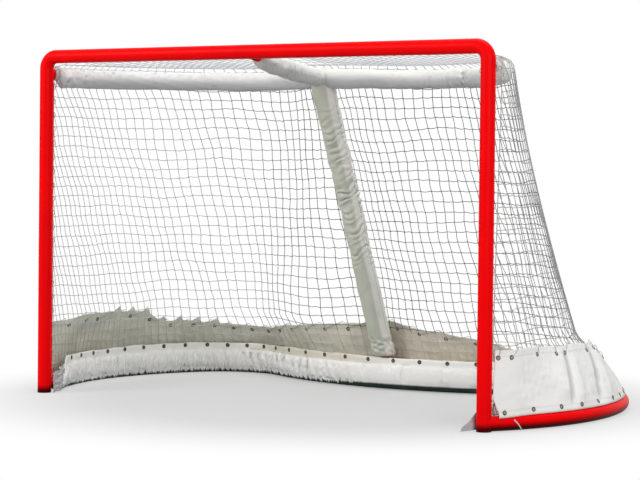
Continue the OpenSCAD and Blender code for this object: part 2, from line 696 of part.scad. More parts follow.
module eyelet(p, u, n) {
    v = cross(n, u);
    multmatrix([[u[0], v[0], n[0], p[0]], [u[1], v[1], n[1], p[1]], [u[2], v[2], n[2], p[2]], [0, 0, 0, 1]])
        rotate_extrude($fn = 24)
            polygon([[eyelet_id / 2, 0], [eyelet_od / 2, 0], [eyelet_od / 2 - 1, eyelet_h],
                [eyelet_id / 2 + 1, eyelet_h]]);
}

// One eyelet in the middle of each facet of a row, lifted clear where the facet folds inwards.
module skirt_eyelet_row(row) {
    color("dimgray") goal()
        for (k = [0:len(SKIRT_GRID) - 2]) {
            a = SKIRT_GRID[k][row];
            b = SKIRT_GRID[k + 1][row];
            c = SKIRT_GRID[k + 1][row + 1];
            n = unit(cross(c - a, b - SKIRT_GRID[k][row + 1]));
            rise = max(0, (b - a) * n) * eyelet_od / 2 / norm(cross(b - a, unit(c - a)));
            eyelet((a + c) / 2 + (canvas / 2 + rise + SEAT) * n, unit(cross([0, 0, 1], n)), n);
        }
}

module base_pad_eyelets() {
    run = 2 * BASE_L - 2 * WEDGE_S - 28;
    color("dimgray") goal()
        for (k = [0:pad_eyelets - 1]) {
            q = plan_at(BASE, WEDGE_S + 14 + run * k / (pad_eyelets - 1));
            inward = [-q[1][0], -q[1][1], 0];
            eyelet(put(q, -wedge_reach - 0.2, wedge_h - wedge_hem_h / 2), [q[1][1], -q[1][0], 0], inward);
        }
}

// The tie from the skirt's corner eyelet, over the hem and round the outside of the base tube.
module corner_tie() {
    q = plan_at(BASE, tie_at);
    color("white") goal()
        translate([q[0][0], q[0][1], BASE_R])
            rotate([0, 0, atan2(q[1][1], q[1][0])])
                rotate([90, 0, 0])
                    rotate([0, 0, -55])
                        rotate_extrude(angle = 84, $fn = 64)
                            translate([BASE_R + tie_d / 2 + SEAT, 0])
                                circle(d = tie_d, $fn = 24);
}

post(-1);  // post_left
post(1);  // post_right
corner(-1);  // corner_left
corner(1);  // corner_right
crossbar();
side_arc(BASE, -1, BASE_R, BASE_R, base_wall);  // base_tube_side_left
side_arc(BASE, 1, BASE_R, BASE_R, base_wall);  // base_tube_side_right
lobe_arc(BASE, -1, BASE_R, BASE_R, base_wall);  // base_tube_lobe_left
lobe_arc(BASE, 1, BASE_R, BASE_R, base_wall);  // base_tube_lobe_right
dip_arc(BASE, BASE_R, BASE_R, base_wall);  // base_tube_rear
side_arc(TOP, -1, TOP_Z, TOP_R, top_wall);  // top_tube_side_left
side_arc(TOP, 1, TOP_Z, TOP_R, top_wall);  // top_tube_side_right
lobe_arc(TOP, -1, TOP_Z, TOP_R, top_wall);  // top_tube_lobe_left
lobe_arc(TOP, 1, TOP_Z, TOP_R, top_wall);  // top_tube_lobe_right
dip_arc(TOP, TOP_Z, TOP_R, top_wall);  // top_tube_rear
centre_strut();
centre_post();
post_rod(-1);  // lacing_rod_left
post_rod(1);  // lacing_rod_right
lacing_rod_crossbar();
top_sleeve(-1);  // top_pad_left
top_sleeve(1);  // top_pad_right
strut_pad();
centre_post_pad();
base_pad_side(-1);  // base_pad_side_left
base_pad_side(1);  // base_pad_side_right
base_pad_lobe(-1);  // base_pad_lobe_left
base_pad_lobe(1);  // base_pad_lobe_right
base_pad_rear();
flap(-1);  // base_pad_flap_left
flap(1);  // base_pad_flap_right
strips(NET_GRID, [17, 19, 21, 23, 26]);  // net_left
strips(NET_GRID, [0, 3, 5, 7, 9]);  // net_right
strips(NET_GRID, [9, 13, 17]);  // net_rear
strips(TOP_GRID, [0, 5, 9, 13, 18]);  // net_top
panels(SKIRT_GRID, [24, 26, 29, 33, 38]);  // skirt_left
panels(SKIRT_GRID, [0, 5, 9, 12, 14]);  // skirt_right
panels(SKIRT_GRID, [14, 19, 24]);  // skirt_rear
skirt_eyelet_row(0);  // skirt_eyelets_top
skirt_eyelet_row(skirt_rows - 1);  // skirt_eyelets_hem
base_pad_eyelets();
corner_tie();
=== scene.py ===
"""Dresses a full-size ice hockey goal: painted tubes, padded sleeves, knotted net, base pad and skirt."""
import json
import logging
import math
from dataclasses import dataclass, field
from enum import Enum
from typing import Callable

import bpy
import numpy as np
from mathutils import Matrix

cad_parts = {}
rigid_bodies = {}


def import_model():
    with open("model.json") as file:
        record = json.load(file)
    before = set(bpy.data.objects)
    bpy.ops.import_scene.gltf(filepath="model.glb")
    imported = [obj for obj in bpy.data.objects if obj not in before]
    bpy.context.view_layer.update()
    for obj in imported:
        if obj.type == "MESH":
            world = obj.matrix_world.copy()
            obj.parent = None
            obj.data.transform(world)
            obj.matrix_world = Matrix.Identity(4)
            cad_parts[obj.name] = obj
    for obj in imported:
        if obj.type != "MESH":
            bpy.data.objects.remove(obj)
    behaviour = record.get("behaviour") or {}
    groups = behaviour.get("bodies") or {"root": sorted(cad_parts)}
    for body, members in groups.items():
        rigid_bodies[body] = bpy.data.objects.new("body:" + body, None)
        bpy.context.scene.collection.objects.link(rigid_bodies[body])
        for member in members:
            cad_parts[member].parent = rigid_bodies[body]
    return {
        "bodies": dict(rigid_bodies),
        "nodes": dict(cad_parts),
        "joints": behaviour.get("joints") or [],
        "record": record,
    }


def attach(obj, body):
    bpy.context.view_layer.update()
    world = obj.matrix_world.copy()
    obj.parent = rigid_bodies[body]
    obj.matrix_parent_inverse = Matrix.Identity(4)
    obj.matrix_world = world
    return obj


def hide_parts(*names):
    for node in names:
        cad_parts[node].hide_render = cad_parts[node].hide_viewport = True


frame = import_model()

LOG = logging.getLogger("goal")
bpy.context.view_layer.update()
BODY = "root"
TUBES = ("post", "corner_l", "corner_r", "crossbar", "base_tube", "top_tube", "centre_strut", "centre_post",
         "lacing")
UP = np.array([0.0, 0.0, 1.0])
Array = np.ndarray
Colour = tuple[float, float, float]


# ---- Numbers and plain surface maths ----------------------------------------------------------------


def smooth(x: Array) -> Array:
    """Eases from 0 to 1 as x goes from 0 to 1: three x squared less two x cubed."""
    t = np.clip(x, 0, 1)
    return t * t * (3 - 2 * t)


def bell(x: Array, width: float) -> Array:
    """A bump of height 1 at x = 0 that falls as e to the minus (x over width) squared."""
    return np.exp(-((np.asarray(x, float) / width) ** 2))


def unit(v: Array) -> Array:
    """Scales each vector of an array to length 1."""
    return v / np.maximum(np.linalg.norm(v, axis=-1, keepdims=True), 1e-12)


def quarter(x: Array) -> Array:
    """Rises from 0 to 1 as x goes from 0 to 1, as a quarter round does, steep at first."""
    return np.sqrt(1 - (1 - np.clip(x, 0, 1)) ** 2)


def pinched(wave: Array, power: float = 0.7) -> Array:
    """A wave whose size is raised to a power below 1, so that its slopes are steep and its crests broad."""
    return np.sign(wave) * np.abs(wave) ** power


def round_angles(count: int) -> Array:
    """Evenly spaced angles of a full turn, in radians."""
    return 2 * np.pi * np.arange(count) / count


def lifted(plan: Array, z: float = 0.0) -> Array:
    """Points or vectors of a plan with a height added, the same for all."""
    return np.concatenate([plan, np.full_like(plan[..., :1], z)], -1)


def ripple(x: Array, y: Array, pitch: float, seed: int) -> Array:
    """A smooth uneven field between about -1 and 1.

    It is the mean of a few sine waves that run in seeded directions, each with a length near the pitch.

    Args:
        x: First coordinate on the surface, in metres.
        y: Second coordinate on the surface, in metres.
        pitch: Typical length of a wave, in metres.
        seed: Seed of the directions, lengths and phases.

    Returns:
        The field at each point.
    """
    waves = 6
    rng = np.random.default_rng(seed)
    turn = rng.uniform(0, np.pi, waves)
    stretch = rng.uniform(0.6, 1.7, waves)
    phase = rng.uniform(0, 6.28, waves)
    total = np.zeros(np.broadcast(x, y).shape)
    for a, k, p in zip(turn, stretch, phase):
        total = total + np.sin((x * np.cos(a) + y * np.sin(a)) * 2 * np.pi / (pitch * k) + p)
    return total / waves ** 0.5 / 1.3


# ---- Meshes -----------------------------------------------------------------------------------------


@dataclass
class Skin:
    """Vertices and faces that are gathered as arrays and made into one mesh object.

    Attributes:
        points: Blocks of vertices, each of shape (n, 3), in metres.
        faces: Blocks of faces, each of shape (n, corners), numbering the vertices of all blocks.
        tags: Material number of each block of faces.
        spans: Per-vertex surface coordinates of each block of vertices, of shape (n, 3).
    """

    points: list[Array] = field(default_factory=list)
    faces: list[Array] = field(default_factory=list)
    tags: list[Array] = field(default_factory=list)
    spans: list[Array] = field(default_factory=list)

    @property
    def count(self) -> int:
        """Number of vertices so far."""
        return sum(len(p) for p in self.points)

    def add(self, points: Array, faces: Array, tag: int = 0, span: Array | None = None) -> None:
        """Adds a block of vertices and the faces between them.

        Args:
            points: Vertices of any leading shape, ending in 3.
            faces: Faces that number the vertices of this block, of shape (n, corners).
            tag: Material number of the faces.
            span: Surface coordinates of the vertices, of the same leading shape.
        """
        flat = points.reshape(-1, 3)
        faces = faces + self.count
        self.points.append(flat)
        self.spans.append(np.zeros_like(flat) if span is None else span.reshape(-1, 3))
        self.more(faces, tag)

    def more(self, faces: Array, tag: int = 0) -> None:
        """Adds faces between vertices that are already there, numbered over all blocks."""
        self.faces.append(faces)
        self.tags.append(np.full(len(faces), tag, np.int32))

    def build(self, name: str, materials: list[bpy.types.Material]) -> bpy.types.Object:
        """Makes the mesh and its object.

        Args:
            name: Name of the object.
            materials: Materials in the order that the tags number them.

        Returns:
            The object, at the origin, with its place in its mesh.
        """
        mesh = bpy.data.meshes.new(name)
        verts = np.concatenate(self.points).astype(np.float32)
        mesh.vertices.add(len(verts))
        mesh.vertices.foreach_set("co", verts.ravel())
        loops = np.concatenate([f.ravel() for f in self.faces]).astype(np.int32)
        sizes = np.concatenate([np.full(len(f), f.shape[1]) for f in self.faces])
        mesh.loops.add(len(loops))
        mesh.loops.foreach_set("vertex_index", loops)
        mesh.polygons.add(len(sizes))
        mesh.polygons.foreach_set("loop_start", np.concatenate([[0], np.cumsum(sizes)[:-1]]).astype(np.int32))
        for material in materials:
            mesh.materials.append(material)
        mesh.polygons.foreach_set("material_index", np.concatenate(self.tags).astype(np.int32))
        mesh.polygons.foreach_set("use_smooth", np.full(len(sizes), True))
        mesh.update(calc_edges=True)
        span = mesh.attributes.new("span", "FLOAT_VECTOR", "POINT")
        span.data.foreach_set("vector", np.concatenate(self.spans).astype(np.float32).ravel())
        mesh.validate()
        obj = bpy.data.objects.new(name, mesh)
        bpy.context.scene.collection.objects.link(obj)
        return obj


def lattice(rows: int, cols: int, round_rows: bool = False, round_cols: bool = False) -> Array:
    """Quads of a grid of rows by cols vertices, numbered row by row.

    Args:
        rows: Number of rows of vertices.
        cols: Number of vertices in a row.
        round_rows: Whether the last row joins the first.
        round_cols: Whether each row is closed.

    Returns:
        Faces of shape (n, 4).
    """
    i = np.arange(rows if round_rows else rows - 1)[:, None]
    j = np.arange(cols if round_cols else cols - 1)[None, :]
    i2, j2 = (i + 1) % rows, (j + 1) % cols
    return np.stack([a * cols + b for a, b in ((i, j), (i, j2), (i2, j2), (i2, j))], -1).reshape(-1, 4)


def strands(skin: Skin, path: Array, radius: float, side: Array, sides: int = 4, tag: int = 0) -> None:
    """Adds round strands: each path point carries a ring of the given radius, square to the path.

    A ring's point is centre + radius * (cos a * across + sin a * other), where across is the part of the
    side vector that is square to the path, and other is the cross product of the path with it.

    Args:
        skin: Where the strands go.
        path: Points of shape (strands, n, 3).
        radius: Radius of every ring.
        side: A vector that isn't along the path, of a shape that fits path.
        sides: Number of points in a ring.
        tag: Material number.
    """
    k, n = path.shape[:2]
    along = unit(np.gradient(path, axis=-2))
    across = unit(side - (side * along).sum(-1, keepdims=True) * along)
    other = np.cross(along, across)
    a = round_angles(sides)
    around = np.cos(a)[:, None] * across[:, :, None] + np.sin(a)[:, None] * other[:, :, None]
    first = skin.count
    step = (np.arange(k) * n * sides)[:, None, None]
    length = np.cumsum(np.linalg.norm(np.diff(path, axis=1), axis=-1), 1)
    length = np.concatenate([np.zeros((k, 1)), length], 1)
    span = np.stack(np.broadcast_arrays(length[..., None], a * radius, 0.0), -1)
    quads = lattice(n, sides, False, True)
    skin.add(path[:, :, None] + radius * around, (quads[None] + step).reshape(-1, 4), tag, span)
    ring = np.arange(sides)
    start = first + step[:, 0] + ring[::-1]
    end = first + step[:, 0] + (n - 1) * sides + ring
    skin.more(np.concatenate([start, end]), tag)


def shell(skin: Skin, front: Array, back: Array, span: Array, inner: int = 0, flip: bool = False) -> None:
    """Adds a thin closed shell: two faces over grids of shape (rows, columns, 3), joined round the rim.

    Args:
        skin: The skin that it is added to.
        front: Points of the front face.
        back: Points of the back face.
        span: Surface coordinates of both.
        inner: Material number of the back face; the front face and the rim have 0.
        flip: Whether the grid runs the other way round, so that all faces are turned over.
    """
    rows, columns = front.shape[:2]
    first, size = skin.count, rows * columns
    order = slice(None, None, -1 if flip else 1)
    quads = lattice(rows, columns)[:, order]
    skin.add(front, quads, 0, span)
    skin.add(back, quads[:, ::-1], inner, span)
    i, j = np.arange(rows - 1) * columns, np.arange(columns - 1)
    last = size - columns
    rims = [(i, i + columns), (i + 2 * columns - 1, i + columns - 1), (j + 1, j), (last + j, last + j + 1)]
    for a, b in rims:
        skin.more(first + np.stack([a, b, b + size, a + size], -1)[:, order], 0)


# ---- The frame's outlines -----------------------------------------------------------------------------


@dataclass
class Outline:
    """Half of a bent tube seen from above: a side arc, a lobe and a middle dip, each tangent to the next.

    Attributes:
        side_r: Radius of the side arc.
        lobe_x: Distance of the lobe's centre from the middle plane.
        lobe_r: Radius of the lobe.
        lobe_y: Distance from the goal line to the back of the lobe.
        dip_y: Distance from the goal line to the dip.
        post_x: Distance of the post from the middle plane.
    """

    side_r: float
    lobe_x: float
    lobe_r: float
    lobe_y: float
    dip_y: float
    post_x: float = 0.94

    def __post_init__(self) -> None:
        """Works out the arcs' centres, angles and lengths from their tangency."""
        post = np.array([self.post_x, 0.0])
        lobe = np.array([self.lobe_x, self.lobe_y - self.lobe_r])
        d = np.linalg.norm(lobe - post)
        e = (lobe - post) / d
        a = (d * d + 2 * self.side_r * self.lobe_r - self.lobe_r ** 2) / (2 * d)
        h = math.sqrt(self.side_r ** 2 - a * a)
        side = post + a * e + h * np.array([-e[1], e[0]])
        away = self.lobe_x ** 2 + (lobe[1] - self.dip_y) ** 2
        self.dip_r = (away - self.lobe_r ** 2) / (2 * (self.lobe_y - self.dip_y))
        dip = np.array([0.0, self.dip_y + self.dip_r])
        self.centres = np.array([side, lobe, dip])
        self.start = math.atan2(-side[1], self.post_x - side[0])
        self.meet = math.atan2(lobe[1] - side[1], lobe[0] - side[0])
        self.end = math.atan2(dip[1] - lobe[1], dip[0] - lobe[0])
        self.len_side = self.side_r * (self.meet - self.start)
        self.len_lobe = self.lobe_r * (self.end - self.meet)
        self.half = self.len_side + self.len_lobe + self.dip_r * (self.end - math.pi / 2)

    def from_end(self, s: Array) -> Array:
        """Distance to the nearer post from a distance s along the centre line."""
        return np.minimum(s, 2 * self.half - s)

    def along(self, w: Array, start: float = 0.0) -> Array:
        """Distance along the centre line: start at w = 0, half at w = 1, and mirrored beyond."""
        w = np.asarray(w, float)
        near = start + np.minimum(w, 2 - w) * (self.half - start)
        return np.where(w <= 1, near, 2 * self.half - near)

    def at(self, s: Array) -> tuple[Array, Array]:
        """Points and outward normals at distances s from the right post, round to the left post.

        Args:
            s: Distances along the centre line, in metres.

        Returns:
            Points of shape (..., 2), and unit normals of the same shape.
        """
        s = np.asarray(s, float)
        m = self.from_end(s)
        a = self.start + m / self.side_r
        b = self.meet + (m - self.len_side) / self.lobe_r
        c = self.end - math.pi - (m - self.len_side - self.len_lobe) / self.dip_r
        part = (m > self.len_side).astype(int) + (m > self.len_side + self.len_lobe)
        angle = np.choose(part, [a, b, c])
        n = np.stack([np.cos(angle), np.sin(angle)], -1)
        radius = np.choose(part, [self.side_r, self.lobe_r, self.dip_r])
        point = self.centres[part] + radius[..., None] * n
        n = n * np.where(part == 2, -1, 1)[..., None]
        flip = np.where(s > self.half, -1.0, 1.0)[..., None] * [1, 0] + [0, 1]
        return point * flip, n * flip


def put(place: tuple[Array, Array], out: Array, z: Array) -> Array:
    """Points at a distance out from an outline, along its normal, and at height z."""
    p, n = place
    xy = p + np.asarray(out, float)[..., None] * n
    return np.concatenate([xy, np.broadcast_to(np.asarray(z, float), xy.shape[:-1])[..., None]], -1)


@dataclass
class Frame:
    """The goal's tubes, as far as what hangs on them needs their sizes, in metres.

    Attributes:
        post_x: Distance of a post from the middle plane.
        bar_z: Height of the crossbar's centre line.
        base_r: Outside radius of the base tube.
        top_z: Height of the top tube's centre line.
        mid_y: Distance from the goal line to the middle of the whole object.
        rod_half: Half the length of the crossbar's lacing rod.
        rod_back: Distance from the goal line to the net's front edge on that rod.
        lace_y: Distance from the goal line to the lacing rods.
        strut_drop: How far the strut's front end lies below the crossbar's centre line.
        foot_back: How far behind the base's dip the centre post meets the base tube.
        base: Outline of the base tube.
        top: Outline of the top tube.
    """

    post_x: float = 0.94
    bar_z: float = 1.245
    base_r: float = 0.0245
    top_z: float = 1.182
    mid_y: float = 0.52775
    rod_half: float = 0.875
    rod_back: float = 0.0414
    lace_y: float = 0.0375
    strut_drop: float = 0.013
    foot_back: float = 0.006
    base: Outline = field(default_factory=lambda: Outline(0.845, 0.716, 0.296, 1.092, 0.913))
    top: Outline = field(default_factory=lambda: Outline(0.686, 0.363, 0.261, 0.559, 0.423))

    @property
    def hub(self) -> Array:
        """Where the strut and the centre post meet the top tube."""
        return np.array([0, self.top.dip_y, self.top_z])

    @property
    def strut_front(self) -> Array:
        """Where the strut's axis meets the crossbar's plane."""
        return np.array([0, 0, self.bar_z - self.strut_drop])

    @property
    def foot(self) -> Array:
        """Where the centre post's axis meets the base tube."""
        return np.array([0, self.base.dip_y + self.foot_back, self.base_r])

    def placed(self, points: Array) -> Array:
        """Moves points from the goal line's frame to the object's own frame."""
        return points - [0, self.mid_y, 0]


@dataclass
class Drape:
    """The surfaces that the net, its top panel and the skirt follow. w runs 0 to 2 from the right post round.

    Attributes:
        frame: The tubes that carry them.
        sag: Inward sag that the net would reach at the floor.
        skirt_z: Height of the skirt's top edge.
        skirt_sag: Inward sag of the skirt's top edge.
        sleeve_r: Radius at which the net lies over a top sleeve.
        flat: Height of the net's crown over a sleeve, as a share of that radius.
        start_r: Radius at which it lies over the bare tube by the posts.
        start_lead: Length over which it rises from one to the other.
        crest_turn: Angle from straight up at which the net leaves the sleeve.
        top_s: Distance along the top tube at which the net starts.
        base_s: Distance along the base tube at which it starts.
        hem_s: Distance along the base tube at which the skirt's hem starts.
        foot_z: Height of the net's lowest line.
        inset: How much further in the skirt's top edge starts than the net, as a share of a half.
        cut_low: Height at which the skirt's height would be all cut away.
        bend: Share of the way down the skirt at which the net behind it turns to the base tube.
        behind: How far inside the skirt the net lies there.
        wave: Length of the skirt's broad folds.
        wave_depth: Half their depth.
        mid_swell: How far the skirt stands out over the base's dip.
        mid_reach: How far along the base that reaches.
        heights: Height of the skirt's top edge at distances round the base from the right post.
    """

    frame: Frame
    sag: float = 0.108
    skirt_z: float = 0.266
    skirt_sag: float = 0.056
    sleeve_r: float = 0.0470
    flat: float = 0.80
    start_r: float = 0.036
    start_lead: float = 0.040
    crest_turn: float = math.radians(75)
    top_s: float = 0.041
    base_s: float = 0.035
    hem_s: float = 0.045
    foot_z: float = 0.05194
    inset: float = 0.012
    cut_low: float = 0.0435
    bend: float = 0.62
    behind: float = 0.009
    wave: float = 0.310
    wave_depth: float = 0.0045
    mid_swell: float = 0.022
    mid_reach: float = 0.090
    heights: tuple[tuple[float, float], ...] = (
        (0.00, 0.262), (0.20, 0.264), (0.37, 0.257), (0.60, 0.252), (0.76, 0.248), (0.84, 0.228),
        (0.96, 0.190), (1.20, 0.184), (1.34, 0.176), (1.47, 0.171), (1.53, 0.174), (1.59, 0.200),
        (1.64, 0.212), (1.76, 0.227), (1.91, 0.243), (2.04, 0.264), (2.17, 0.249), (2.53, 0.224),
        (2.79, 0.192), (2.98, 0.204), (3.34, 0.226), (3.39, 0.262), (3.58, 0.274), (3.78, 0.270),
        (3.96, 0.255), (4.12, 0.250))

    def near_post(self, w: Array, reach: float) -> Array:
        """A bump at both posts that dies out over the reach along the base."""
        base = self.frame.base
        return bell(base.from_end(base.along(w)), reach)

    def near_middle(self, w: Array, reach: float) -> Array:
        """A bump at the middle dip that dies out over the reach along the base."""
        return bell(self.frame.base.along(w) - self.frame.base.half, reach)

    def crest(self, w: Array, angle: Array) -> Array:
        """Points round the top tube's sleeve, at an angle from straight up, towards the outside."""
        top = self.frame.top
        s = top.along(w, self.top_s)
        lead = smooth((top.from_end(s) - self.top_s) / self.start_lead)
        r = self.start_r + (self.sleeve_r - self.start_r) * lead
        return put(top.at(s), r * np.sin(angle), self.frame.top_z + self.flat * r * np.cos(angle))

    def head(self, w: Array) -> Array:
        """The line where the net leaves the sleeve."""
        return self.crest(w, self.crest_turn)

    def net_foot(self, w: Array) -> Array:
        """The net's lowest line, on top of the base tube."""
        o = 0.0015 - 0.0235 * self.near_post(w, 0.060) + 0.0135 * self.near_middle(w, 0.060)
        base = self.frame.base
        return put(base.at(base.along(w, self.base_s)), o, self.foot_z)

    def outward(self, w: Array) -> Array:
        """Level unit vectors that point out of the goal."""
        top, base = self.frame.top, self.frame.base
        a = top.at(top.along(w, self.top_s))[1]
        b = base.at(base.along(w, self.base_s))[1]
        return lifted(unit(a + b))

    def hang(self, w: Array) -> Array:
        """Share of the sag that is free to form, away from the posts and the middle."""
        return (1 - self.near_post(w, 0.220)) * (1 - self.near_middle(w, 0.260))

    def ruled(self, w: Array, v: Array) -> Array:
        """Straight blend from the head at v = 0 to the foot at v = 1."""
        v = np.asarray(v, float)[..., None]
        return self.head(w) * (1 - v) + self.net_foot(w) * v

    def bulge(self, w: Array, v: Array) -> Array:
        """How far the centre post pushes the net out, and how far the slack net spans the dip above it."""
        span = 0.034 * smooth(v / 0.16) * (1 - v) * self.near_middle(w, 0.250)
        return 0.031 * v * self.near_middle(w, 0.140) + span

    def net_upper(self, w: Array, v: Array) -> Array:
        """The net above the skirt: the ruled surface, sagging inwards as v to the power 1.45."""
        shift = self.bulge(w, v) - self.sag * np.power(v, 1.45) * self.hang(w)
        return self.ruled(w, v) + shift[..., None] * self.outward(w)

    @property
    def skirt_v(self) -> float:
        """Where on the net the skirt's top edge lies."""
        top, low = self.head(np.array(1.0))[2], self.net_foot(np.array(1.0))[2]
        return float((top - self.skirt_z) / (top - low))

    def hem(self, w: Array) -> Array:
        """The skirt's lower edge, over the base tube."""
        post, mid = self.near_post(w, 0.090), self.near_middle(w, 0.130)
        place = self.frame.base.at(self.frame.base.along(w, self.hem_s))
        z = 2 * self.frame.base_r + 0.0005 - 0.006 * post - 0.008 * mid
        return put(place, 0.011 + 0.009 * (post + mid), z)

    def skirt_head(self, w: Array) -> Array:
        """The skirt's top edge, just outside the net."""
        w = np.asarray(w, float)
        k = np.where(w <= 1, w + (1 - w) * self.inset, w - (w - 1) * self.inset)
        spread = 0.008 + 0.007 * self.near_post(k, 0.100) - self.skirt_sag * self.hang(k)
        v = np.full(k.shape, self.skirt_v)
        q = self.ruled(k, v) + (self.bulge(k, v) + spread)[..., None] * self.outward(k)
        q[..., 2] = self.skirt_z
        return q

    def skirt_cut(self, s: Array) -> Array:
        """Share of the skirt's full height that is cut away at distances s, from the table of heights."""
        at, height = np.array(self.heights).T
        z = sum(np.interp(s + d, at, height) for d in (-0.024, -0.012, 0.0, 0.012, 0.024)) / 5
        return (self.skirt_z - z) / (self.skirt_z - self.cut_low)

    def stretched(self, w: Array, t: Array, fold: Array) -> Array:
        """The straight blend of the skirt's two edges, moved out by its swell over the dip and by a fold."""
        t = np.asarray(t, float)
        swell = self.mid_swell * np.sin(np.pi * t) * self.near_middle(w, self.mid_reach)
        flat = self.skirt_head(w) * (1 - t[..., None]) + self.hem(w) * t[..., None]
        return flat + (swell + fold)[..., None] * self.outward(w)

    def skirt(self, w: Array, t: Array) -> Array:
        """The skirt's middle surface: t is 0 at its top edge and 1 at its hem, with broad folds between."""
        s = self.frame.base.along(w)
        end = self.frame.base.from_end(s)
        wave = 1 + np.sin(2 * np.pi * s / self.wave + np.radians(40) * t)
        fold = self.wave_depth * wave * np.sin(np.pi * t) * smooth(end / 0.260 - 0.3)
        return self.stretched(w, t, fold)

    def net_lower(self, w: Array, v: Array) -> Array:
        """The net below the skirt's top edge: down just inside the skirt, then to the base tube."""
        k = np.clip((np.asarray(v, float) - self.skirt_v) / (1 - self.skirt_v), 0, 1)
        low = self.stretched(w, self.bend, -self.behind)
        start = self.net_upper(w, np.full(np.shape(w), self.skirt_v))
        a, b = (k / self.bend)[..., None], ((k - self.bend) / (1 - self.bend))[..., None]
        return np.where(a < 1, start * (1 - a) + low * a, low * (1 - b) + self.net_foot(w) * b)

    def net(self, w: Array, v: Array) -> Array:
        """The whole net surface, from the sleeve at v = 0 to the base tube at v = 1."""
        w, v = np.broadcast_arrays(np.asarray(w, float), np.asarray(v, float))
        upper = self.net_upper(w, np.minimum(v, self.skirt_v))
        return np.where((v < self.skirt_v)[..., None], upper, self.net_lower(w, v))


# ---- Shaders ------------------------------------------------------------------------------------------


class Signal:
    """An output socket of a shader tree, with arithmetic on values."""

    def __init__(self, shader: "Shader", socket: bpy.types.NodeSocket) -> None:
        """Wraps a socket of the shader."""
        self.shader, self.socket = shader, socket

    def _math(self, operation: str, *others: "Signal | float", swap: bool = False) -> "Signal":
        """Adds a Math node on this value and the others."""
        terms = [self, *others][::-1] if swap else [self, *others]
        return self.shader.add("ShaderNodeMath", {"operation": operation}, dict(enumerate(terms)))

    def __add__(self, other: "Signal | float") -> "Signal":
        """This value plus another."""
        return self._math("ADD", other)

    def __sub__(self, other: "Signal | float") -> "Signal":
        """This value less another."""
        return self._math("SUBTRACT", other)

    def __rsub__(self, other: float) -> "Signal":
        """A number less this value."""
        return self._math("SUBTRACT", other, swap=True)

    def __mul__(self, other: "Signal | float") -> "Signal":
        """This value times another."""
        return self._math("MULTIPLY", other)

    __radd__, __rmul__ = __add__, __mul__

    def power(self, exponent: float) -> "Signal":
        """This value to a power."""
        return self._math("POWER", exponent)

    def most(self, other: "Signal") -> "Signal":
        """The greater of this value and another."""
        return self._math("MAXIMUM", other)

    def sine(self) -> "Signal":
        """The sine of this value."""
        return self._math("SINE")

    def ease(self, low: float, high: float) -> "Signal":
        """0 below low, 1 above high and a smooth step between; the other way where high is the lower."""
        ends = {"From Min": low, "From Max": high, "To Min": 0.0, "To Max": 1.0}
        return self.shader.add("ShaderNodeMapRange", {"interpolation_type": "SMOOTHSTEP", "clamp": True},
                               {"Value": self, **ends})


class Shader:
    """Builds one procedural material on Object coordinates, or the light of a world."""

    def __init__(self, name: str, world: bpy.types.World | None = None) -> None:
        """Starts an empty material of the name, or empties the world's nodes."""
        self.material = world or bpy.data.materials.new(name)
        self.material.use_nodes = True
        self.tree = self.material.node_tree
        self.tree.nodes.clear()
        self._place = None

    def add(self, kind: str, settings: dict | None = None, values: dict | None = None,
            out: str | int = 0) -> Signal:
        """Adds a node.

        Args:
            kind: The node's type.
            settings: Properties that are set first.
            values: Numbers, colours, vectors or signals for sockets, by name or number.
            out: Name or number of the output that is returned.

        Returns:
            The output as a signal.
        """
        node = self.tree.nodes.new(kind)
        for key, value in (settings or {}).items():
            setattr(node, key, value)
        for key, value in (values or {}).items():
            socket = node.inputs[key]
            if isinstance(value, Signal):
                self.tree.links.new(value.socket, socket)
            elif isinstance(value, tuple) and len(value) == 3 and len(socket.default_value) == 4:
                socket.default_value = (*value, 1)
            else:
                socket.default_value = value
        return Signal(self, node.outputs[out])

    @property
    def place(self) -> Signal:
        """Object coordinates."""
        if self._place is None:
            self._place = self.add("ShaderNodeTexCoord", out="Object")
        return self._place

    def axis(self, vector: Signal, letter: str) -> Signal:
        """One part, X, Y or Z, of a vector."""
        return self.add("ShaderNodeSeparateXYZ", values={0: vector}, out=letter)

    def span(self) -> Signal:
        """The piece's own surface coordinates."""
        return self.add("ShaderNodeAttribute", {"attribute_name": "span"}, out="Vector")

    def stretched(self, vector: Signal, scale: tuple[float, float, float]) -> Signal:
        """A vector with its parts scaled."""
        return self.add("ShaderNodeMapping", values={"Vector": vector, "Scale": scale})

    def noise(self, vector: Signal, scale: float, detail: float = 4, rough: float = 0.55) -> Signal:
        """Fractal noise between 0 and 1."""
        return self.add("ShaderNodeTexNoise", values={"Vector": vector, "Scale": scale, "Detail": detail,
                                                      "Roughness": rough}, out="Fac")

    def mix(self, share: Signal | float, a: Signal | Colour, b: Signal | Colour) -> Signal:
        """Colour a, turned into colour b by a share from 0 to 1."""
        return self.add("ShaderNodeMix", {"data_type": "RGBA"}, {0: share, 6: a, 7: b}, out=2)

    def bump(self, height: Signal, depth: float, strength: float = 1, under: Signal | None = None) -> Signal:
        """A normal for relief of the given depth in metres."""
        values = {"Height": height, "Distance": depth, "Strength": strength}
        if under is not None:
            values["Normal"] = under
        return self.add("ShaderNodeBump", values=values)

    def surface(self, **values: Signal | float | Colour) -> bpy.types.Material:
        """Ends the material in a Principled shader.

        Args:
            **values: Its sockets, with underscores for spaces.

        Returns:
            The material.
        """
        lit = self.add("ShaderNodeBsdfPrincipled", values={k.replace("_", " "): v for k, v in values.items()})
        self.add_output(lit)
        return self.material

    def add_output(self, lit: Signal, kind: str = "ShaderNodeOutputMaterial") -> None:
        """Links a shader to the output."""
        out = self.tree.nodes.new(kind)
        self.tree.links.new(lit.socket, out.inputs["Surface"])


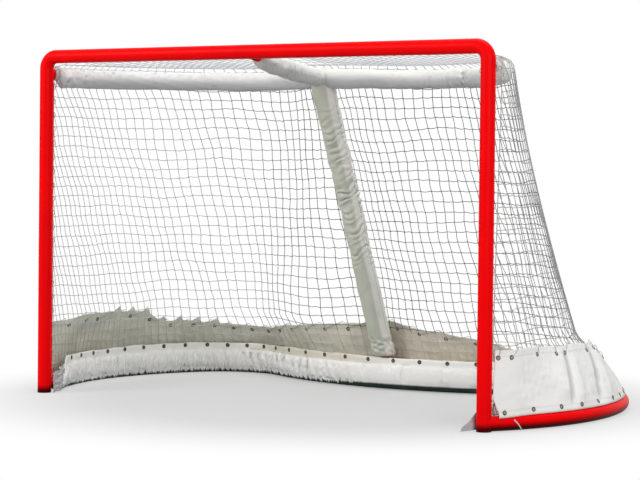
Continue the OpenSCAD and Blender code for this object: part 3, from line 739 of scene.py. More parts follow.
@dataclass(frozen=True)
class TubePaint:
    """Baked enamel with faint orange peel, deeper in patches, scuffed near the floor, with painted shade
    along the base tube's underside.

    Attributes:
        colour: Clean colour.
        deep: Colour of the deeper patches.
        scuff: Colour of the scuffs.
        underside_shade: Colour of the painted shade along the underside near the floor.
    """

    colour: Colour = (0.86, 0.0015, 0.0025)
    deep: Colour = (0.70, 0.0010, 0.0040)
    scuff: Colour = (0.30, 0.05, 0.04)
    underside_shade: Colour = (0.022, 0.001, 0.0015)

    def make(self) -> bpy.types.Material:
        """Builds the material."""
        s = Shader("tube_enamel")
        cloud = s.noise(s.place, 3.5, 3)
        fine = s.noise(s.place, 90, 3)
        marks = s.noise(s.stretched(s.place, (60, 60, 9)), 1.4, 5, 0.7).ease(0.66, 0.78)
        low = s.axis(s.place, "Z").ease(0.10, 0.0)
        worn = marks * (0.14 + 0.5 * low)
        colour = s.mix(worn, s.mix(cloud.ease(0.35, 0.75) * 0.5, self.colour, self.deep), self.scuff)
        # Painted shade along the underside of the base tube, near the floor.
        colour = s.mix(s.axis(s.place, "Z").ease(0.034, 0.008) * 0.96, colour, self.underside_shade)
        rough = 0.30 + 0.10 * cloud + 0.30 * worn
        return s.surface(Base_Color=colour, Roughness=rough, Specular_IOR_Level=0.03,
                         Normal=s.bump(fine, 0.0004, 0.25))


@dataclass(frozen=True)
class PadVinyl:
    """Coated fabric over foam: soft sheen, a fine weave print, dirt that gathers in patches, and painted
    shade on a sleeve's turned-away side, in creases and along a pad's foot.

    Attributes:
        name: Name of the material.
        colour: Clean colour.
        soil: Colour of the dirt.
        soiling: Most of the dirt.
        creases: How much the fine creases are squeezed along each axis.
        shaded: Colour of the painted shade on the side that is turned down, away from the light.
        turn: Angle, in radians, by which the painted shade is turned round the sleeve from facing down.
        blur: How softly the painted shade sets in.
        girth: Radius that the angle round the sleeve was measured at; 0 leaves the painted shade out.
        unshaded_x: Place across the goal beyond which a sleeve has no painted shade.
        hem: Colour of the hem above hem_z.
        hem_z: Height at which the hem starts; above 1 there is none.
        shade_band: Colour of the painted shade along the pad's foot, in the recess under its face.
        shade_band_z: Height of that painted shade's top edge; 0 leaves it out.
        valley: Which of the piece's surface coordinates says how deep in a crease a point lies.
        crease_shade: Colour of the painted shade in the creases at their deepest.
    """

    name: str
    colour: Colour = (0.83, 0.83, 0.80)
    soil: Colour = (0.52, 0.52, 0.48)
    soiling: float = 0.30
    creases: tuple[float, float, float] = (7, 7, 14)
    shaded: Colour = (0.55, 0.57, 0.58)
    turn: float = 0.0
    blur: float = 0.40
    girth: float = 0.0
    unshaded_x: float = 0.68
    hem: Colour = (0.78, 0.73, 0.62)
    hem_z: float = 2.0
    shade_band: Colour = (0.016, 0.034, 0.028)
    shade_band_z: float = 0.0
    valley: str = "Z"
    crease_shade: Colour = (0.30, 0.31, 0.30)

    def make(self) -> bpy.types.Material:
        """Builds the material."""
        s = Shader(self.name)
        cloud = s.noise(s.place, 6, 5, 0.6)
        crease = s.noise(s.stretched(s.place, self.creases), 6, 5, 0.6)
        weave = (s.axis(s.place, "X") * 5200).sine() * (s.axis(s.place, "Z") * 5200).sine()
        specks = s.noise(s.place, 160, 2).ease(0.70, 0.78)
        dirt = cloud.ease(0.42, 0.80) * self.soiling + specks * 0.12
        colour = s.mix(dirt, self.colour, self.soil)
        # Painted shade on the side of a sleeve turned away from the light, left off past unshaded_x.
        if self.girth:
            shade_reach = 0.85 - 0.85 * s.axis(s.place, "X").ease(self.unshaded_x - 0.08, self.unshaded_x + 0.08)
            facing = (s.axis(s.span(), "Y") * (1 / self.girth) + self.turn).sine()
            share = (facing + (cloud - 0.5) * 0.5).ease(self.blur, -self.blur) * shade_reach
            colour = s.mix(share, colour, self.shaded)
        # Painted shade in the creases, deepest where they dip in.
        deep = s.axis(s.span(), self.valley).ease(0.40, 1.25)
        colour = s.mix(deep * 0.62, colour, self.crease_shade)
        if self.hem_z < 1:
            high = s.axis(s.place, "Z").ease(self.hem_z - 0.003, self.hem_z + 0.002)
            x = s.axis(s.place, "X")
            tint = x.ease(-0.80, -0.55) * x.ease(0.10, -0.20) * (0.5 + s.noise(s.place, 9.0, 3))
            colour = s.mix(high * (0.10 + 0.75 * tint), colour, self.hem)
        # Painted shade along the base pad's foot, in the recess under its face, with a ragged top edge.
        if self.shade_band_z:
            ragged = s.noise(s.stretched(s.span(), (26, 0, 1)), 3.0, 4, 0.7)
            lift = s.axis(s.span(), "Z") * (0.60 - ragged) * 0.070
            run = s.axis(s.span(), "X")
            broad = run.ease(1.10, 1.75) * run.ease(2.45, 2.15)
            rim = s.axis(s.place, "Z") + lift - broad * 0.003
            colour = s.mix(rim.ease(self.shade_band_z + 0.004, self.shade_band_z - 0.004), colour, self.shade_band)
        normal = s.bump(crease, 0.004, 0.40, s.bump(weave, 0.0002, 0.2))
        rough = 0.45 + 0.25 * cloud
        return s.surface(Base_Color=colour, Roughness=rough, Specular_IOR_Level=0.3, Normal=normal)


@dataclass(frozen=True)
class Canvas:
    """Woven canvas: a plain weave in relief, with a stitched hem along both edges and painted shade in its
    folds.

    Attributes:
        name: Name of the material.
        colour: Clean colour.
        soil: Colour of the soil and the stitches.
        soiling: Most of the soil.
        warm: Clean colour at the right side of the goal, or None where it is the same all over.
        threads: Length of one wave of the weave.
        fall: Length that the canvas's own coordinate gives to its drop.
        crease_shade: Colour of the painted shade in the folds at their deepest.
    """

    name: str
    colour: Colour = (0.88, 0.875, 0.85)
    soil: Colour = (0.62, 0.61, 0.57)
    soiling: float = 0.28
    warm: Colour | None = None
    threads: float = 1.1e-3
    fall: float = 0.225
    crease_shade: Colour = (0.36, 0.36, 0.34)

    def make(self) -> bpy.types.Material:
        """Builds the material."""
        s = Shader(self.name)
        span = s.span()
        k = 2 * math.pi / self.threads
        run, drop = s.axis(span, "X"), s.axis(span, "Y")
        weave = (run * k).sine() * (drop * k).sine()
        cloud = s.noise(s.stretched(s.place, (1, 1, 2.2)), 7, 5, 0.6)
        stain = s.noise(s.stretched(span, (6, 40, 1)), 1.0, 5, 0.65)
        streaks = s.noise(s.stretched(span, (5, 150, 1)), 1.0, 4, 0.6)
        level = drop * (2 / self.fall) - 1
        edge = level.most(level * -1)
        valley = s.axis(span, "Z").ease(0.25, 1.15)
        dirt = cloud.ease(0.40, 0.78) * self.soiling + stain.ease(0.52, 0.8) * self.soiling * 0.6
        dirt = dirt + edge.ease(0.86, 1.0) * 0.30 + streaks.ease(0.55, 0.75) * self.soiling * 0.35
        stitch = (run * 1250).sine().ease(-0.2, 0.3) * edge.ease(0.76, 0.79) * edge.ease(0.85, 0.82)
        base = self.colour
        if self.warm is not None:
            base = s.mix(s.axis(s.place, "X").ease(-0.75, 0.45), self.colour, self.warm)
        colour = s.mix(stitch * 0.5, s.mix(dirt, base, self.soil), self.soil)
        # Painted shade in the folds, deepest where they dip in.
        colour = s.mix(valley * 0.60, colour, self.crease_shade)
        normal = s.bump(stitch, 0.001, 0.5, s.bump(cloud, 0.005, 0.25, s.bump(weave, 0.0003, 0.35)))
        rough = 0.72 + 0.15 * cloud
        return s.surface(Base_Color=colour, Roughness=rough, Specular_IOR_Level=0.25, Normal=normal)


@dataclass(frozen=True)
class Twine:
    """Twisted nylon: plies that wind round each strand, greyed by random tone and, on the back net, by
    painted shade that lifts at the left, the right and the top; tan low down.

    Attributes:
        name: Name of the material.
        colour: Colour of the bare twine.
        soil: Colour that the painted shade and the random tone turn it towards.
        floor: Colour that it takes below floor_z.
        floor_z: Height below which it turns tan; 0 leaves that out.
        unshaded_x: Place across the goal beyond which the painted shade mostly lifts; below -9 it is even.
        side_x: Place across the goal from which the other side is half out of the painted shade.
        lay: Length of one turn of the plies.
    """

    name: str = "net_nylon"
    colour: Colour = (0.70, 0.715, 0.71)
    soil: Colour = (0.10, 0.11, 0.10)
    floor: Colour = (0.62, 0.60, 0.52)
    floor_z: float = 0.225
    unshaded_x: float = -0.86
    side_x: float = 0.78
    lay: float = 0.009

    def make(self) -> bpy.types.Material:
        """Builds the material."""
        s = Shader(self.name)
        span = s.span()
        twist = (s.axis(span, "X") * (2 * math.pi / self.lay) + s.axis(span, "Y") * 1400).sine()
        cloud = s.noise(s.place, 5, 4)
        # Share of painted shade and random tone, uneven with the cloud and the plies.
        worn = 0.72 + cloud.ease(0.35, 0.7) * 0.28 + twist * 0.03
        if self.unshaded_x > -9:
            # On the back net the painted shade lifts to the left of unshaded_x, on the right side and above
            # the top tube.
            x = s.axis(s.place, "X")
            worn = worn * (0.16 + 0.84 * x.ease(self.unshaded_x, self.unshaded_x + 0.62))
            worn = worn * (1 - 0.58 * x.ease(self.side_x, self.side_x + 0.16))
            worn = worn * (1 - 0.55 * s.axis(s.place, "Z").ease(1.165, 1.190))
        colour = s.mix(worn, self.colour, self.soil)
        if self.floor_z:
            low = s.axis(s.place, "Z").ease(self.floor_z + 0.012, self.floor_z - 0.012)
            colour = s.mix(low, colour, self.floor)
        return s.surface(Base_Color=colour, Roughness=0.6 + 0.2 * cloud, Specular_IOR_Level=0.2,
                         Normal=s.bump(twist, 0.0005, 0.6))


@dataclass(frozen=True)
class Grommet:
    """Rolled metal of the eyelets, tarnished in patches.

    Attributes:
        name: Name of the material.
        colour: Colour of the metal.
        tarnish: Colour of the patches.
    """

    name: str
    colour: Colour = (0.15, 0.12, 0.07)
    tarnish: Colour = (0.035, 0.03, 0.02)

    def make(self) -> bpy.types.Material:
        """Builds the material."""
        s = Shader(self.name)
        patches = s.noise(s.place, 130, 4).ease(0.36, 0.62)
        return s.surface(Base_Color=s.mix(patches, self.colour, self.tarnish), Metallic=0.35,
                         Roughness=0.38 + 0.35 * patches, Normal=s.bump(patches, 0.0003, 0.3))


@dataclass(frozen=True)
class Shade:
    """The inside of a hole or a gap.

    Attributes:
        name: Name of the material.
        colour: Colour of the hollow.
        dust: Colour of the specks in it.
    """

    name: str = "hole_shade"
    colour: Colour = (0.05, 0.045, 0.035)
    dust: Colour = (0.16, 0.14, 0.11)

    def make(self) -> bpy.types.Material:
        """Builds the material."""
        s = Shader(self.name)
        grain = s.noise(s.place, 160, 3)
        return s.surface(Base_Color=s.mix(grain, self.colour, self.dust), Roughness=0.9)


# ---- The net ------------------------------------------------------------------------------------------


@dataclass
class Web:
    """Square-mesh netting on a surface, knotted wherever a column crosses a row.

    A column k stands k cells from the middle. Its place across the surface, w, is 1 + k * cell / half width,
    where both the cell and the half width may change down the surface, so outer columns start at the edge.

    Attributes:
        surface: Gives points for w from 0 to 2 and y from 0 to 1.
        outward: Gives a vector off the surface at w.
        half: Half width of the surface at y.
        cell: Cell width at y.
        rows: Number of cells from y = 0 to y = 1.
        length: Length of the surface from y = 0 to y = 1, in metres.
        radius: Radius of the twine.
        wander: How far knots stray from a true square grid.
        slack: How far each row hangs between two knots.
        wide_left: Most that w grows on the left half, so that cells are wider near the middle.
        wide_right: Most that w grows on the right half, so that cells are closer near the middle.
        seed: Seed of the straying.
    """

    surface: Callable[[Array, Array], Array]
    outward: Callable[[Array], Array]
    half: Callable[[Array], Array]
    cell: Callable[[Array], Array]
    rows: int
    length: float
    radius: float = 0.0015
    wander: float = 0.0065
    slack: float = 0.0022
    wide_left: float = 0.100
    wide_right: float = 0.032
    seed: int = 3

    def point(self, w: Array, y: Array) -> Array:
        """A point of the surface, shifted along it by two uneven fields that die out at the edges."""
        x = (w - 1) * self.half(y)
        down = y * self.length
        free = smooth((self.half(y) - np.abs(x)) / 0.08) * smooth(down / 0.06)
        free = free * smooth((1 - y) * self.length / 0.06)

        def stray(broad: float, fine: float, seed: int) -> Array:
            """How far the knots stray, in metres, by a broad and a fine field of the two pitches."""
            mixed = ripple(x, down, broad, seed) + 0.35 * ripple(x, down, fine, seed + 1)
            return self.wander * free * mixed

        dx, dy = stray(0.34, 0.09, self.seed), stray(0.42, 0.08, self.seed + 2)
        return self.surface(w + dx / self.half(y), np.clip(y + dy / self.length, 0, 1))

    def column(self, k: Array, y: Array) -> Array:
        """Place w of column k at y; half a sine wave on each side spreads or closes the columns unevenly."""
        u = np.clip(k * self.cell(y) / self.half(y), -1, 1)
        return 1 + u + np.where(u > 0, self.wide_left, -self.wide_right) * np.sin(np.pi * u)

    def first_row(self, k: Array) -> Array:
        """Where down the surface each column starts: 0, or where the surface has grown wide enough."""
        y = np.linspace(0, 1, 400)
        reach = self.half(y) / self.cell(y)
        return np.where(np.abs(k) < reach[0], 0.0, np.interp(np.abs(k), np.maximum.accumulate(reach), y))

    def add_to(self, skin: Skin) -> None:
        """Adds the columns, the rows and their knots to a skin."""
        most = int(self.half(np.array(1.0)) / self.cell(np.array(1.0)) - 0.05)
        k = np.arange(-most, most + 1, dtype=float)
        start = self.first_row(k)
        y = start[:, None] + (1 - start[:, None]) * np.linspace(0, 1, 2 * self.rows + 1)[None]
        w = self.column(k[:, None], y)
        strands(skin, self.point(w, y), self.radius, self.outward(w), 3)
        level = np.arange(1, self.rows) / self.rows
        w = np.broadcast_to(np.linspace(0, 2, 8 * most + 1), (len(level), 8 * most + 1))
        y = np.broadcast_to(level[:, None], w.shape)
        path = self.point(w, y)
        x = (w - 1) * self.half(y) / self.cell(y)
        path[..., 2] -= self.slack * np.abs(np.sin(np.pi * x))
        strands(skin, path, self.radius, self.outward(w), 3)
        kk, yy = np.meshgrid(k, level)
        keep = yy > self.first_row(kk.ravel()).reshape(kk.shape)
        kk, yy = kk[keep], yy[keep]
        knots = self.point(self.column(kk, yy), yy)
        star = np.array([[1, 0, 0], [-1, 0, 0], [0, 1, 0], [0, -1, 0], [0, 0, 1], [0, 0, -1]])
        star = star * self.radius * 2.1
        tri = np.array([[0, 2, 4], [2, 1, 4], [1, 3, 4], [3, 0, 4],
                        [2, 0, 5], [1, 2, 5], [3, 1, 5], [0, 3, 5]])
        skin.add(knots[:, None] + star, (tri[None] + 6 * np.arange(len(knots))[:, None, None]).reshape(-1, 3))


@dataclass
class Netting:
    """The back and sides of the net, its roof over the top, and the cord that laces both to the frame.

    Attributes:
        drape: The surfaces that the net follows.
        twine: Finish of the back and the sides.
        roof_twine: Finish of the roof.
        rope: Finish of the edge ropes and the lacing.
        cell: Cell size where the net leaves the top tube.
        stretch: Growth of the cell's width down to the base.
        rows: Number of cells from the sleeve's crown to the base.
        length: Length of the net from the crown to the base.
        twine_r: Radius of the twine.
        rope_r: Radius of the edge rope.
        lace_r: Radius of the lacing cord.
        lace_turn: Radius of the lacing cord's turns round a rod.
        lace_pitch: Spacing of those turns.
        lace_low: Height at which the lacing of a post starts.
        lace_long: Length of the lacing of a post.
        lace_start: Distance from the middle at which the lacing of the crossbar starts.
        roof_cell: Cell size of the roof.
        roof_r: Radius of the roof's twine.
        wrap: Share of the net's length that lies over the sleeve's shoulder.
        stitch_drop: Height of skirt that a stitch's depth is a share of.
        frays: Number of loose ends by each post.
    """

    drape: Drape
    twine: Twine = field(default_factory=Twine)
    roof_twine: Twine = Twine("roof_nylon", (0.84, 0.85, 0.87), (0.58, 0.59, 0.61), unshaded_x=-10.0)
    rope: Twine = Twine("lacing_nylon", (0.74, 0.74, 0.72), (0.50, 0.50, 0.47), floor_z=0.0, unshaded_x=-10.0)
    cell: float = 0.0345
    stretch: float = 0.004
    rows: int = 32
    length: float = 1.317
    twine_r: float = 0.0015
    rope_r: float = 0.0017
    lace_r: float = 0.0013
    lace_turn: float = 0.0074
    lace_pitch: float = 0.052
    lace_low: float = 0.075
    lace_long: float = 1.065
    lace_start: float = 0.0475
    roof_cell: float = 0.036
    roof_r: float = 0.0012
    wrap: float = 0.051
    stitch_drop: float = 0.222
    frays: int = 11

    def build(self, skirt: "Skirt", ties: Array) -> list[bpy.types.Object]:
        """Makes the two net pieces.

        Args:
            skirt: The skirt that the net is stitched to.
            ties: Places w of the skirt's top eyelets.

        Returns:
            The back and sides, and the roof.
        """
        rope = self.rope.make()
        back = self._back([self.twine.make(), rope], skirt, ties)
        return [back, self._roof([self.roof_twine.make(), rope])]

    def _surface(self, w: Array, y: Array) -> Array:
        """The net from the sleeve's crown, over its shoulder and down to the base tube."""
        w, y = np.broadcast_arrays(w, y)
        over = self.drape.crest(w, self.drape.crest_turn * np.clip(y / self.wrap, 0, 1))
        down = self.drape.net(w, (np.maximum(y, self.wrap) - self.wrap) / (1 - self.wrap))
        return self.drape.frame.placed(np.where((y < self.wrap)[..., None], over, down))

    def _back(self, materials: list[bpy.types.Material], skirt: "Skirt", ties: Array) -> bpy.types.Object:
        """Nets the back and the sides, with a rope along each edge, the lacing and the skirt's stitches."""
        frame = self.drape.frame
        top = frame.top.half - self.drape.top_s
        base = frame.base.half - self.drape.base_s

        def grow(y: Array) -> Array:
            """Share of the growth from the top tube to the base that is reached at y."""
            return np.clip((y - self.wrap) / (1 - self.wrap), 0, 1)

        web = Web(self._surface, self.drape.outward, lambda y: top + (base - top) * grow(y),
                  lambda y: self.cell + self.stretch * grow(y), self.rows, self.length, self.twine_r)
        skin = Skin()
        web.add_to(skin)
        y = np.linspace(0, 1, 120)[None]
        for w in (0.0, 2.0):
            wide = np.full(y.shape, w)
            strands(skin, self._surface(wide, y), self.rope_r, self.drape.outward(wide), 5, 1)
        w = np.linspace(0, 2, 500)[None]
        for level in (0.0, 1.0):
            strands(skin, self._surface(w, np.full(w.shape, level)), self.rope_r, self.drape.outward(w), 5, 1)
        for side in (-1, 1):
            self._lace(skin, [side * frame.post_x, frame.lace_y, self.lace_low], [0, 0, 1], self.lace_long)
            self._bind(skin, side)
        self._stitch(skin, skirt, ties)
        obj = skin.build("net_back_and_sides", materials)
        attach(obj, BODY)
        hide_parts("net_left", "net_right", "net_rear")
        return obj

    def _coil(self, skin: Skin, centre: Array, u: Array, v: Array, turns: float, radius: float,
              tag: int = 1) -> None:
        """Adds a cord wound round a line of points: centre + radius * (cos a * u + sin a * v)."""
        a = (2 * np.pi * turns * np.linspace(0, 1, len(centre)))[:, None]
        path = self.drape.frame.placed(centre + radius * (np.cos(a) * u + np.sin(a) * v))
        strands(skin, path[None], self.lace_r, np.gradient(centre, axis=0)[None], 4, tag)

    def _lace(self, skin: Skin, start: list[float], along: list[float], length: float) -> None:
        """Winds the lacing cord round a rod."""
        n = int(length / self.lace_pitch * 10)
        line = np.array(start) + np.linspace(0, length, n)[:, None] * np.array(along, float)
        back = np.array([0, 1.0, 0])
        self._coil(skin, line, np.cross(along, back), back, length / self.lace_pitch, self.lace_turn)

    def _bind(self, skin: Skin, side: int) -> None:
        """Winds the spare cord round the top tube beside a post, and leaves its frayed ends loose."""
        frame = self.drape.frame
        for first, last, turns, radius in ((0.030, 0.045, 6, 0.0190), (0.044, 0.032, 5, 0.0212)):
            s = np.linspace(first, last, 120)
            p, n = frame.top.at(s if side > 0 else 2 * frame.top.half - s)
            line = lifted(p, frame.top_z)
            self._coil(skin, line, lifted(n), UP, turns, radius, 0)
        rng = np.random.default_rng(57 + side)
        u = np.linspace(0, 1, 10)[None, :, None]
        way = unit(rng.normal(size=(self.frays, 1, 3)) * [0.7, 0.5, 1.0] + [0.5 * side, 0.2, 0.1])
        bow = rng.normal(size=(self.frays, 1, 3)) * 0.010 * np.sin(np.pi * u) + [0, 0, -0.012] * u ** 2
        ends = line[0] + 0.018 * way + way * u * rng.uniform(0.012, 0.034, (self.frays, 1, 1)) + bow
        strands(skin, frame.placed(ends), self.lace_r, np.array([0.3, 0.9, 0.2]), 4, 0)

    def _stitch(self, skin: Skin, skirt: "Skirt", ties: Array) -> None:
        """Stitches the skirt's top edge to the net: over the edge outside each eyelet, then along inside."""
        share = [0, 0.06, 0.13, 0.20, 0.30, 0.60, 0.92, 1]
        u = np.linspace(0, 1, 28, endpoint=False)
        height = np.interp(u, share, [-0.027, -0.015, 0.001, 0.007, 0.004, -0.006, -0.020, -0.027])
        out = np.interp(u, share, [0, 0.0050, 0.0050, 0, -0.0035, -0.0040, -0.0035, 0])
        w = (ties[:-1, None] + np.diff(ties)[:, None] * u).ravel()
        height, out = np.tile(height, len(ties) - 1), np.tile(out, len(ties) - 1)
        t = np.maximum(0, -height) / self.stitch_drop
        path = skirt.surface(w, t) + out[:, None] * skirt.normals(w, np.maximum(t, 0.02))
        path[:, 2] += np.maximum(0, height)
        strands(skin, self.drape.frame.placed(path)[None], self.lace_r, self.drape.outward(w)[None], 4, 1)

    def _roof(self, materials: list[bpy.types.Material]) -> bpy.types.Object:
        """Nets the roof: columns run back from the crossbar and rows run across, up to the sleeve's crown.

        Its height runs straight from the rod to the crown, is lifted over the strut and sags beside it.
        """
        frame = self.drape.frame
        crest = self.drape.crest(np.linspace(0, 1, 600), np.zeros(600))
        back = int(np.argmax(crest[:, 1]))
        x_of, y_of = crest[:, 0], crest[:, 1]
        order = np.argsort(x_of)
        rise = frame.top_z + self.drape.flat * self.drape.sleeve_r - frame.bar_z

        def depth_at(x: Array) -> Array:
            """Distance from the goal line to the crown behind x."""
            return np.interp(np.abs(x), x_of[order], y_of[order])

        def on_roof(x: Array, y: Array) -> Array:
            """A point of the roof over x and y."""
            depth = depth_at(x)
            t = np.clip((y - frame.rod_back) / np.maximum(depth - frame.rod_back, 1e-4), 0, 1)
            lift = 0.021 * np.cos(np.pi / 2 * t) * bell(x, 0.070)
            sag = 0.010 * np.sin(np.pi * t) * (1 - bell(x, 0.16)) * smooth((depth - 0.08) / 0.3)
            z = frame.bar_z + rise * t + lift - sag
            return frame.placed(np.stack(np.broadcast_arrays(x, y, z), -1))

        skin = Skin()
        limit = frame.rod_half - 0.004
        most = int(limit / self.roof_cell)
        x = np.arange(-most, most + 1)[:, None] * self.roof_cell
        x, t = np.broadcast_arrays(x, np.linspace(0, 1, 26)[None])
        y = frame.rod_back + (depth_at(x) - frame.rod_back) * t
        wave = 0.005 * ripple(x, y, 0.30, 11) * np.sin(np.pi * t)
        strands(skin, on_roof(x + wave, y), self.roof_r, np.array([1.0, 0, 0]), 3)
        for y in np.arange(frame.rod_back + self.roof_cell, y_of.max() - 0.01, self.roof_cell):
            outer = float(np.interp(y, y_of[:back + 1], x_of[:back + 1]))
            inner = float(np.interp(y, y_of[back:][::-1], x_of[back:][::-1]))
            for a, b in [(-outer, outer)] if y < y_of[-1] else [(-outer, -inner), (inner, outer)]:
                x = np.linspace(a, b, max(4, int((b - a) / 0.010)))[None]
                path = on_roof(x, y + 0.004 * ripple(x, y, 0.22, 12))
                path[..., 2] -= 0.0018 * np.abs(np.sin(np.pi * x / self.roof_cell))
                strands(skin, path, self.roof_r, UP, 3)
        x = np.linspace(-limit - 0.004, limit + 0.004, 200)[None]
        strands(skin, on_roof(x, np.full(x.shape, frame.rod_back)), self.rope_r, UP, 5, 1)
        for side in (-1, 1):
            start = [side * self.lace_start, frame.lace_y, frame.bar_z]
            self._lace(skin, start, [side, 0, 0], frame.rod_half - self.lace_start)
        obj = skin.build("net_roof", materials)
        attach(obj, BODY)
        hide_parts("net_top")
        return obj


# ---- The skirt ----------------------------------------------------------------------------------------


@dataclass
class Skirt:
    """The canvas skirt: one strip round the base, laced to the net along its top and to the base tube below.

    Attributes:
        drape: The surfaces that the skirt follows.
        outside: Finish of the outer face.
        inside: Finish of the inner face.
        thick: Thickness of the canvas.
        fall: Length that the canvas's own coordinate gives to its drop.
        stations: Number of grid lines round the goal.
        rows: Number of grid lines from the top edge to the hem.
        lead: How far each front corner is drawn forwards to its post.
        tooth: Height of the drawn-up points of the top edge.
        tooth_pitch: Spacing of the points.
        tooth_from: Distance round the base at which they start.
        tooth_run: Length of the edge that has them.
    """

    drape: Drape
    outside: Canvas = Canvas("skirt_outside")
    inside: Canvas = Canvas("skirt_inside", (0.78, 0.79, 0.69), (0.52, 0.515, 0.43), 0.5, (0.86, 0.775, 0.64))
    thick: float = 0.0018
    fall: float = 0.225
    stations: int = 1100
    rows: int = 30
    lead: float = 0.026
    tooth: float = 0.020
    tooth_pitch: float = 0.0885
    tooth_from: float = 3.04
    tooth_run: float = 0.60

    @property
    def folds(self) -> list[tuple[float, float, float, float]]:
        """Folds that hang down the canvas: place at the top, drift to the hem, depth and width."""
        rng = np.random.default_rng(29)
        made = [(0.415, -0.080, -0.0150, 0.017), (0.365, -0.080, 0.0060, 0.026),
                (0.475, -0.100, 0.0070, 0.030), (0.700, -0.180, -0.0110, 0.026),
                (0.760, -0.150, 0.0060, 0.026), (0.120, 0.060, -0.0030, 0.050)]
        for k, s in enumerate(np.arange(0.86, 3.98, 0.105)):
            made.append((s + rng.uniform(-0.03, 0.03), rng.uniform(-0.06, 0.06),
                         (-1) ** k * rng.uniform(0.002, 0.006), rng.uniform(0.02, 0.045)))
        return made

    def fold(self, s: Array, t: Array) -> Array:
        """How far the folds move the canvas outwards: a bell across each fold, easing out at top and hem."""
        end = self.drape.frame.base.from_end(s)
        body = smooth(t / 0.22) * smooth((1 - t) / 0.25) * smooth(end / 0.05)
        out = np.zeros(np.broadcast(s, t).shape)
        for at, down, depth in ((0.300, 0.84, -0.0060), (0.505, 0.82, -0.0060), (0.600, 0.70, 0.0040)):
            out = out + depth * bell(s - at, 0.026) * bell(t - down, 0.11) * smooth((1 - t) / 0.10)
        for at, drift, depth, width in self.folds:
            out = out + depth * bell(s - at - drift * t, width) * body
        return out

    def surface(self, w: Array, t: Array) -> Array:
        """The skirt with its folds, its drawn-up points and its uneven top edge; t is 0 at the cut edge.

        The broad surface is moved outwards by the folds, by a fine unevenness and by ridges that hang from
        the top eyelets. The top edge rises to a row of points on the left, and its front corners reach to the
        posts.
        """
        w, t = np.broadcast_arrays(np.asarray(w, float), np.asarray(t, float))
        base = self.drape.frame.base
        s = base.along(w)
        end = base.from_end(s)
        free = smooth(end / 0.12)
        cut = self.drape.skirt_cut(s)
        fine = 0.0026 * ripple(s, t * 0.22, 0.16, 21) + 0.0012 * ripple(s, t * 0.5, 0.05, 22)
        hang = 0.0035 * np.abs(np.sin(np.pi * s / 0.115)) ** 0.6 * np.exp(-3 * t)
        out = (fine * np.sin(np.pi * np.clip(t, 0.03, 0.97)) + hang) * free
        out = out + self.fold(s, t)
        p = self.drape.skirt(w, cut + (1 - cut) * t) + out[..., None] * self.drape.outward(w)
        _, normal = base.at(s)
        ahead = np.stack([normal[..., 1], -normal[..., 0]], -1) * np.where(s < base.half, 1, -1)[..., None]
        p[..., :2] += (self.lead * bell(end, 0.034) * (1 - smooth((t - 0.66) / 0.34)))[..., None] * ahead
        d = (s - self.tooth_from + self.tooth_pitch / 2) % self.tooth_pitch - self.tooth_pitch / 2
        tooth = np.clip(np.where(d > 0, 1 - d / 0.036, 1 + d / 0.010), 0, 1)
        last = self.tooth_from + self.tooth_run
        row = smooth((s - self.tooth_from + 0.04) / 0.03) * smooth((last - s) / 0.03)
        edge = self.tooth * row * tooth + 0.003 * ripple(s, s * 0, 0.19, 23) * free
        edge = edge + (0.0015 * free * ripple(s, s * 0, 0.03, 24))
        p[..., 2] += edge * np.exp(-9 * t)
        return p

    def normals(self, w: Array, t: Array) -> Array:
        """Unit outward normals of the skirt, from its two directions."""
        d = 1e-3
        across = self.surface(w + d, t) - self.surface(w - d, t)
        down = self.surface(w, t + 0.01) - self.surface(w, t - 0.01)
        n = unit(np.cross(down, across))
        sign = np.sign((n * self.drape.outward(w)).sum(-1, keepdims=True))
        return n * sign

    def build(self) -> bpy.types.Object:
        """Makes the skirt as a closed thin shell with its two faces finished apart."""
        w, t = np.meshgrid(np.linspace(0, 2, self.stations), np.linspace(0, 1, self.rows), indexing="ij")
        p, n = self.surface(w, t), self.normals(w, t)
        run = self.drape.frame.base.along(w)
        span = np.stack([run, t * self.fall, -self.fold(run, t) / 0.010], -1)
        skin = Skin()
        placed, out = self.drape.frame.placed, n * self.thick / 2
        shell(skin, placed(p + out), placed(p - out), span, inner=1)
        obj = skin.build("skirt_canvas", [self.outside.make(), self.inside.make()])
        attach(obj, BODY)
        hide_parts("skirt_left", "skirt_right", "skirt_rear")
        width = float(np.linalg.norm(np.diff(p[:, self.rows // 2], axis=0), axis=-1).sum())
        return obj


@dataclass
class Eyelets:
    """Rolled rings with a dark bore, set on a surface.

    Attributes:
        outer: Outside radius.
        bore: Radius of the bore.
        height: Height above the cloth.
        turns: Number of steps round a ring.
    """

    outer: float = 0.0085
    bore: float = 0.0045
    height: float = 0.0016
    turns: int = 14

    def add_to(self, skin: Skin, centre: Array, normal: Array) -> None:
        """Adds an eyelet at each centre, facing along each normal.

        It is a profile of five points, radius and height, turned about the normal and closed by two discs, of
        which the upper one is the shaded bore.
        """
        u = unit(np.cross(UP, normal))
        v = np.cross(normal, u)
        mid = (self.outer + self.bore) / 2
        profile = np.array([
            [self.outer, -0.0004], [self.outer - 0.0008, self.height * 0.75], [mid, self.height],
            [self.bore + 0.0004, self.height * 0.6], [self.bore, 0.0003]])
        a = round_angles(self.turns)[:, None, None]
        ring = np.cos(a) * u[:, None, None] + np.sin(a) * v[:, None, None]
        points = centre[:, None, None] + ring * profile[:, :1] + normal[:, None, None] * profile[:, 1:]
        wide = len(profile)
        step = np.arange(len(centre))[:, None] * self.turns * wide
        first = skin.count
        quads = lattice(self.turns, wide, True, False)[:, ::-1]
        skin.add(points, (quads[None] + step[..., None]).reshape(-1, 4), 0)
        rim = np.arange(self.turns) * wide
        skin.more(first + step + rim + wide - 1, 1)
        skin.more(first + step + rim[::-1], 0)


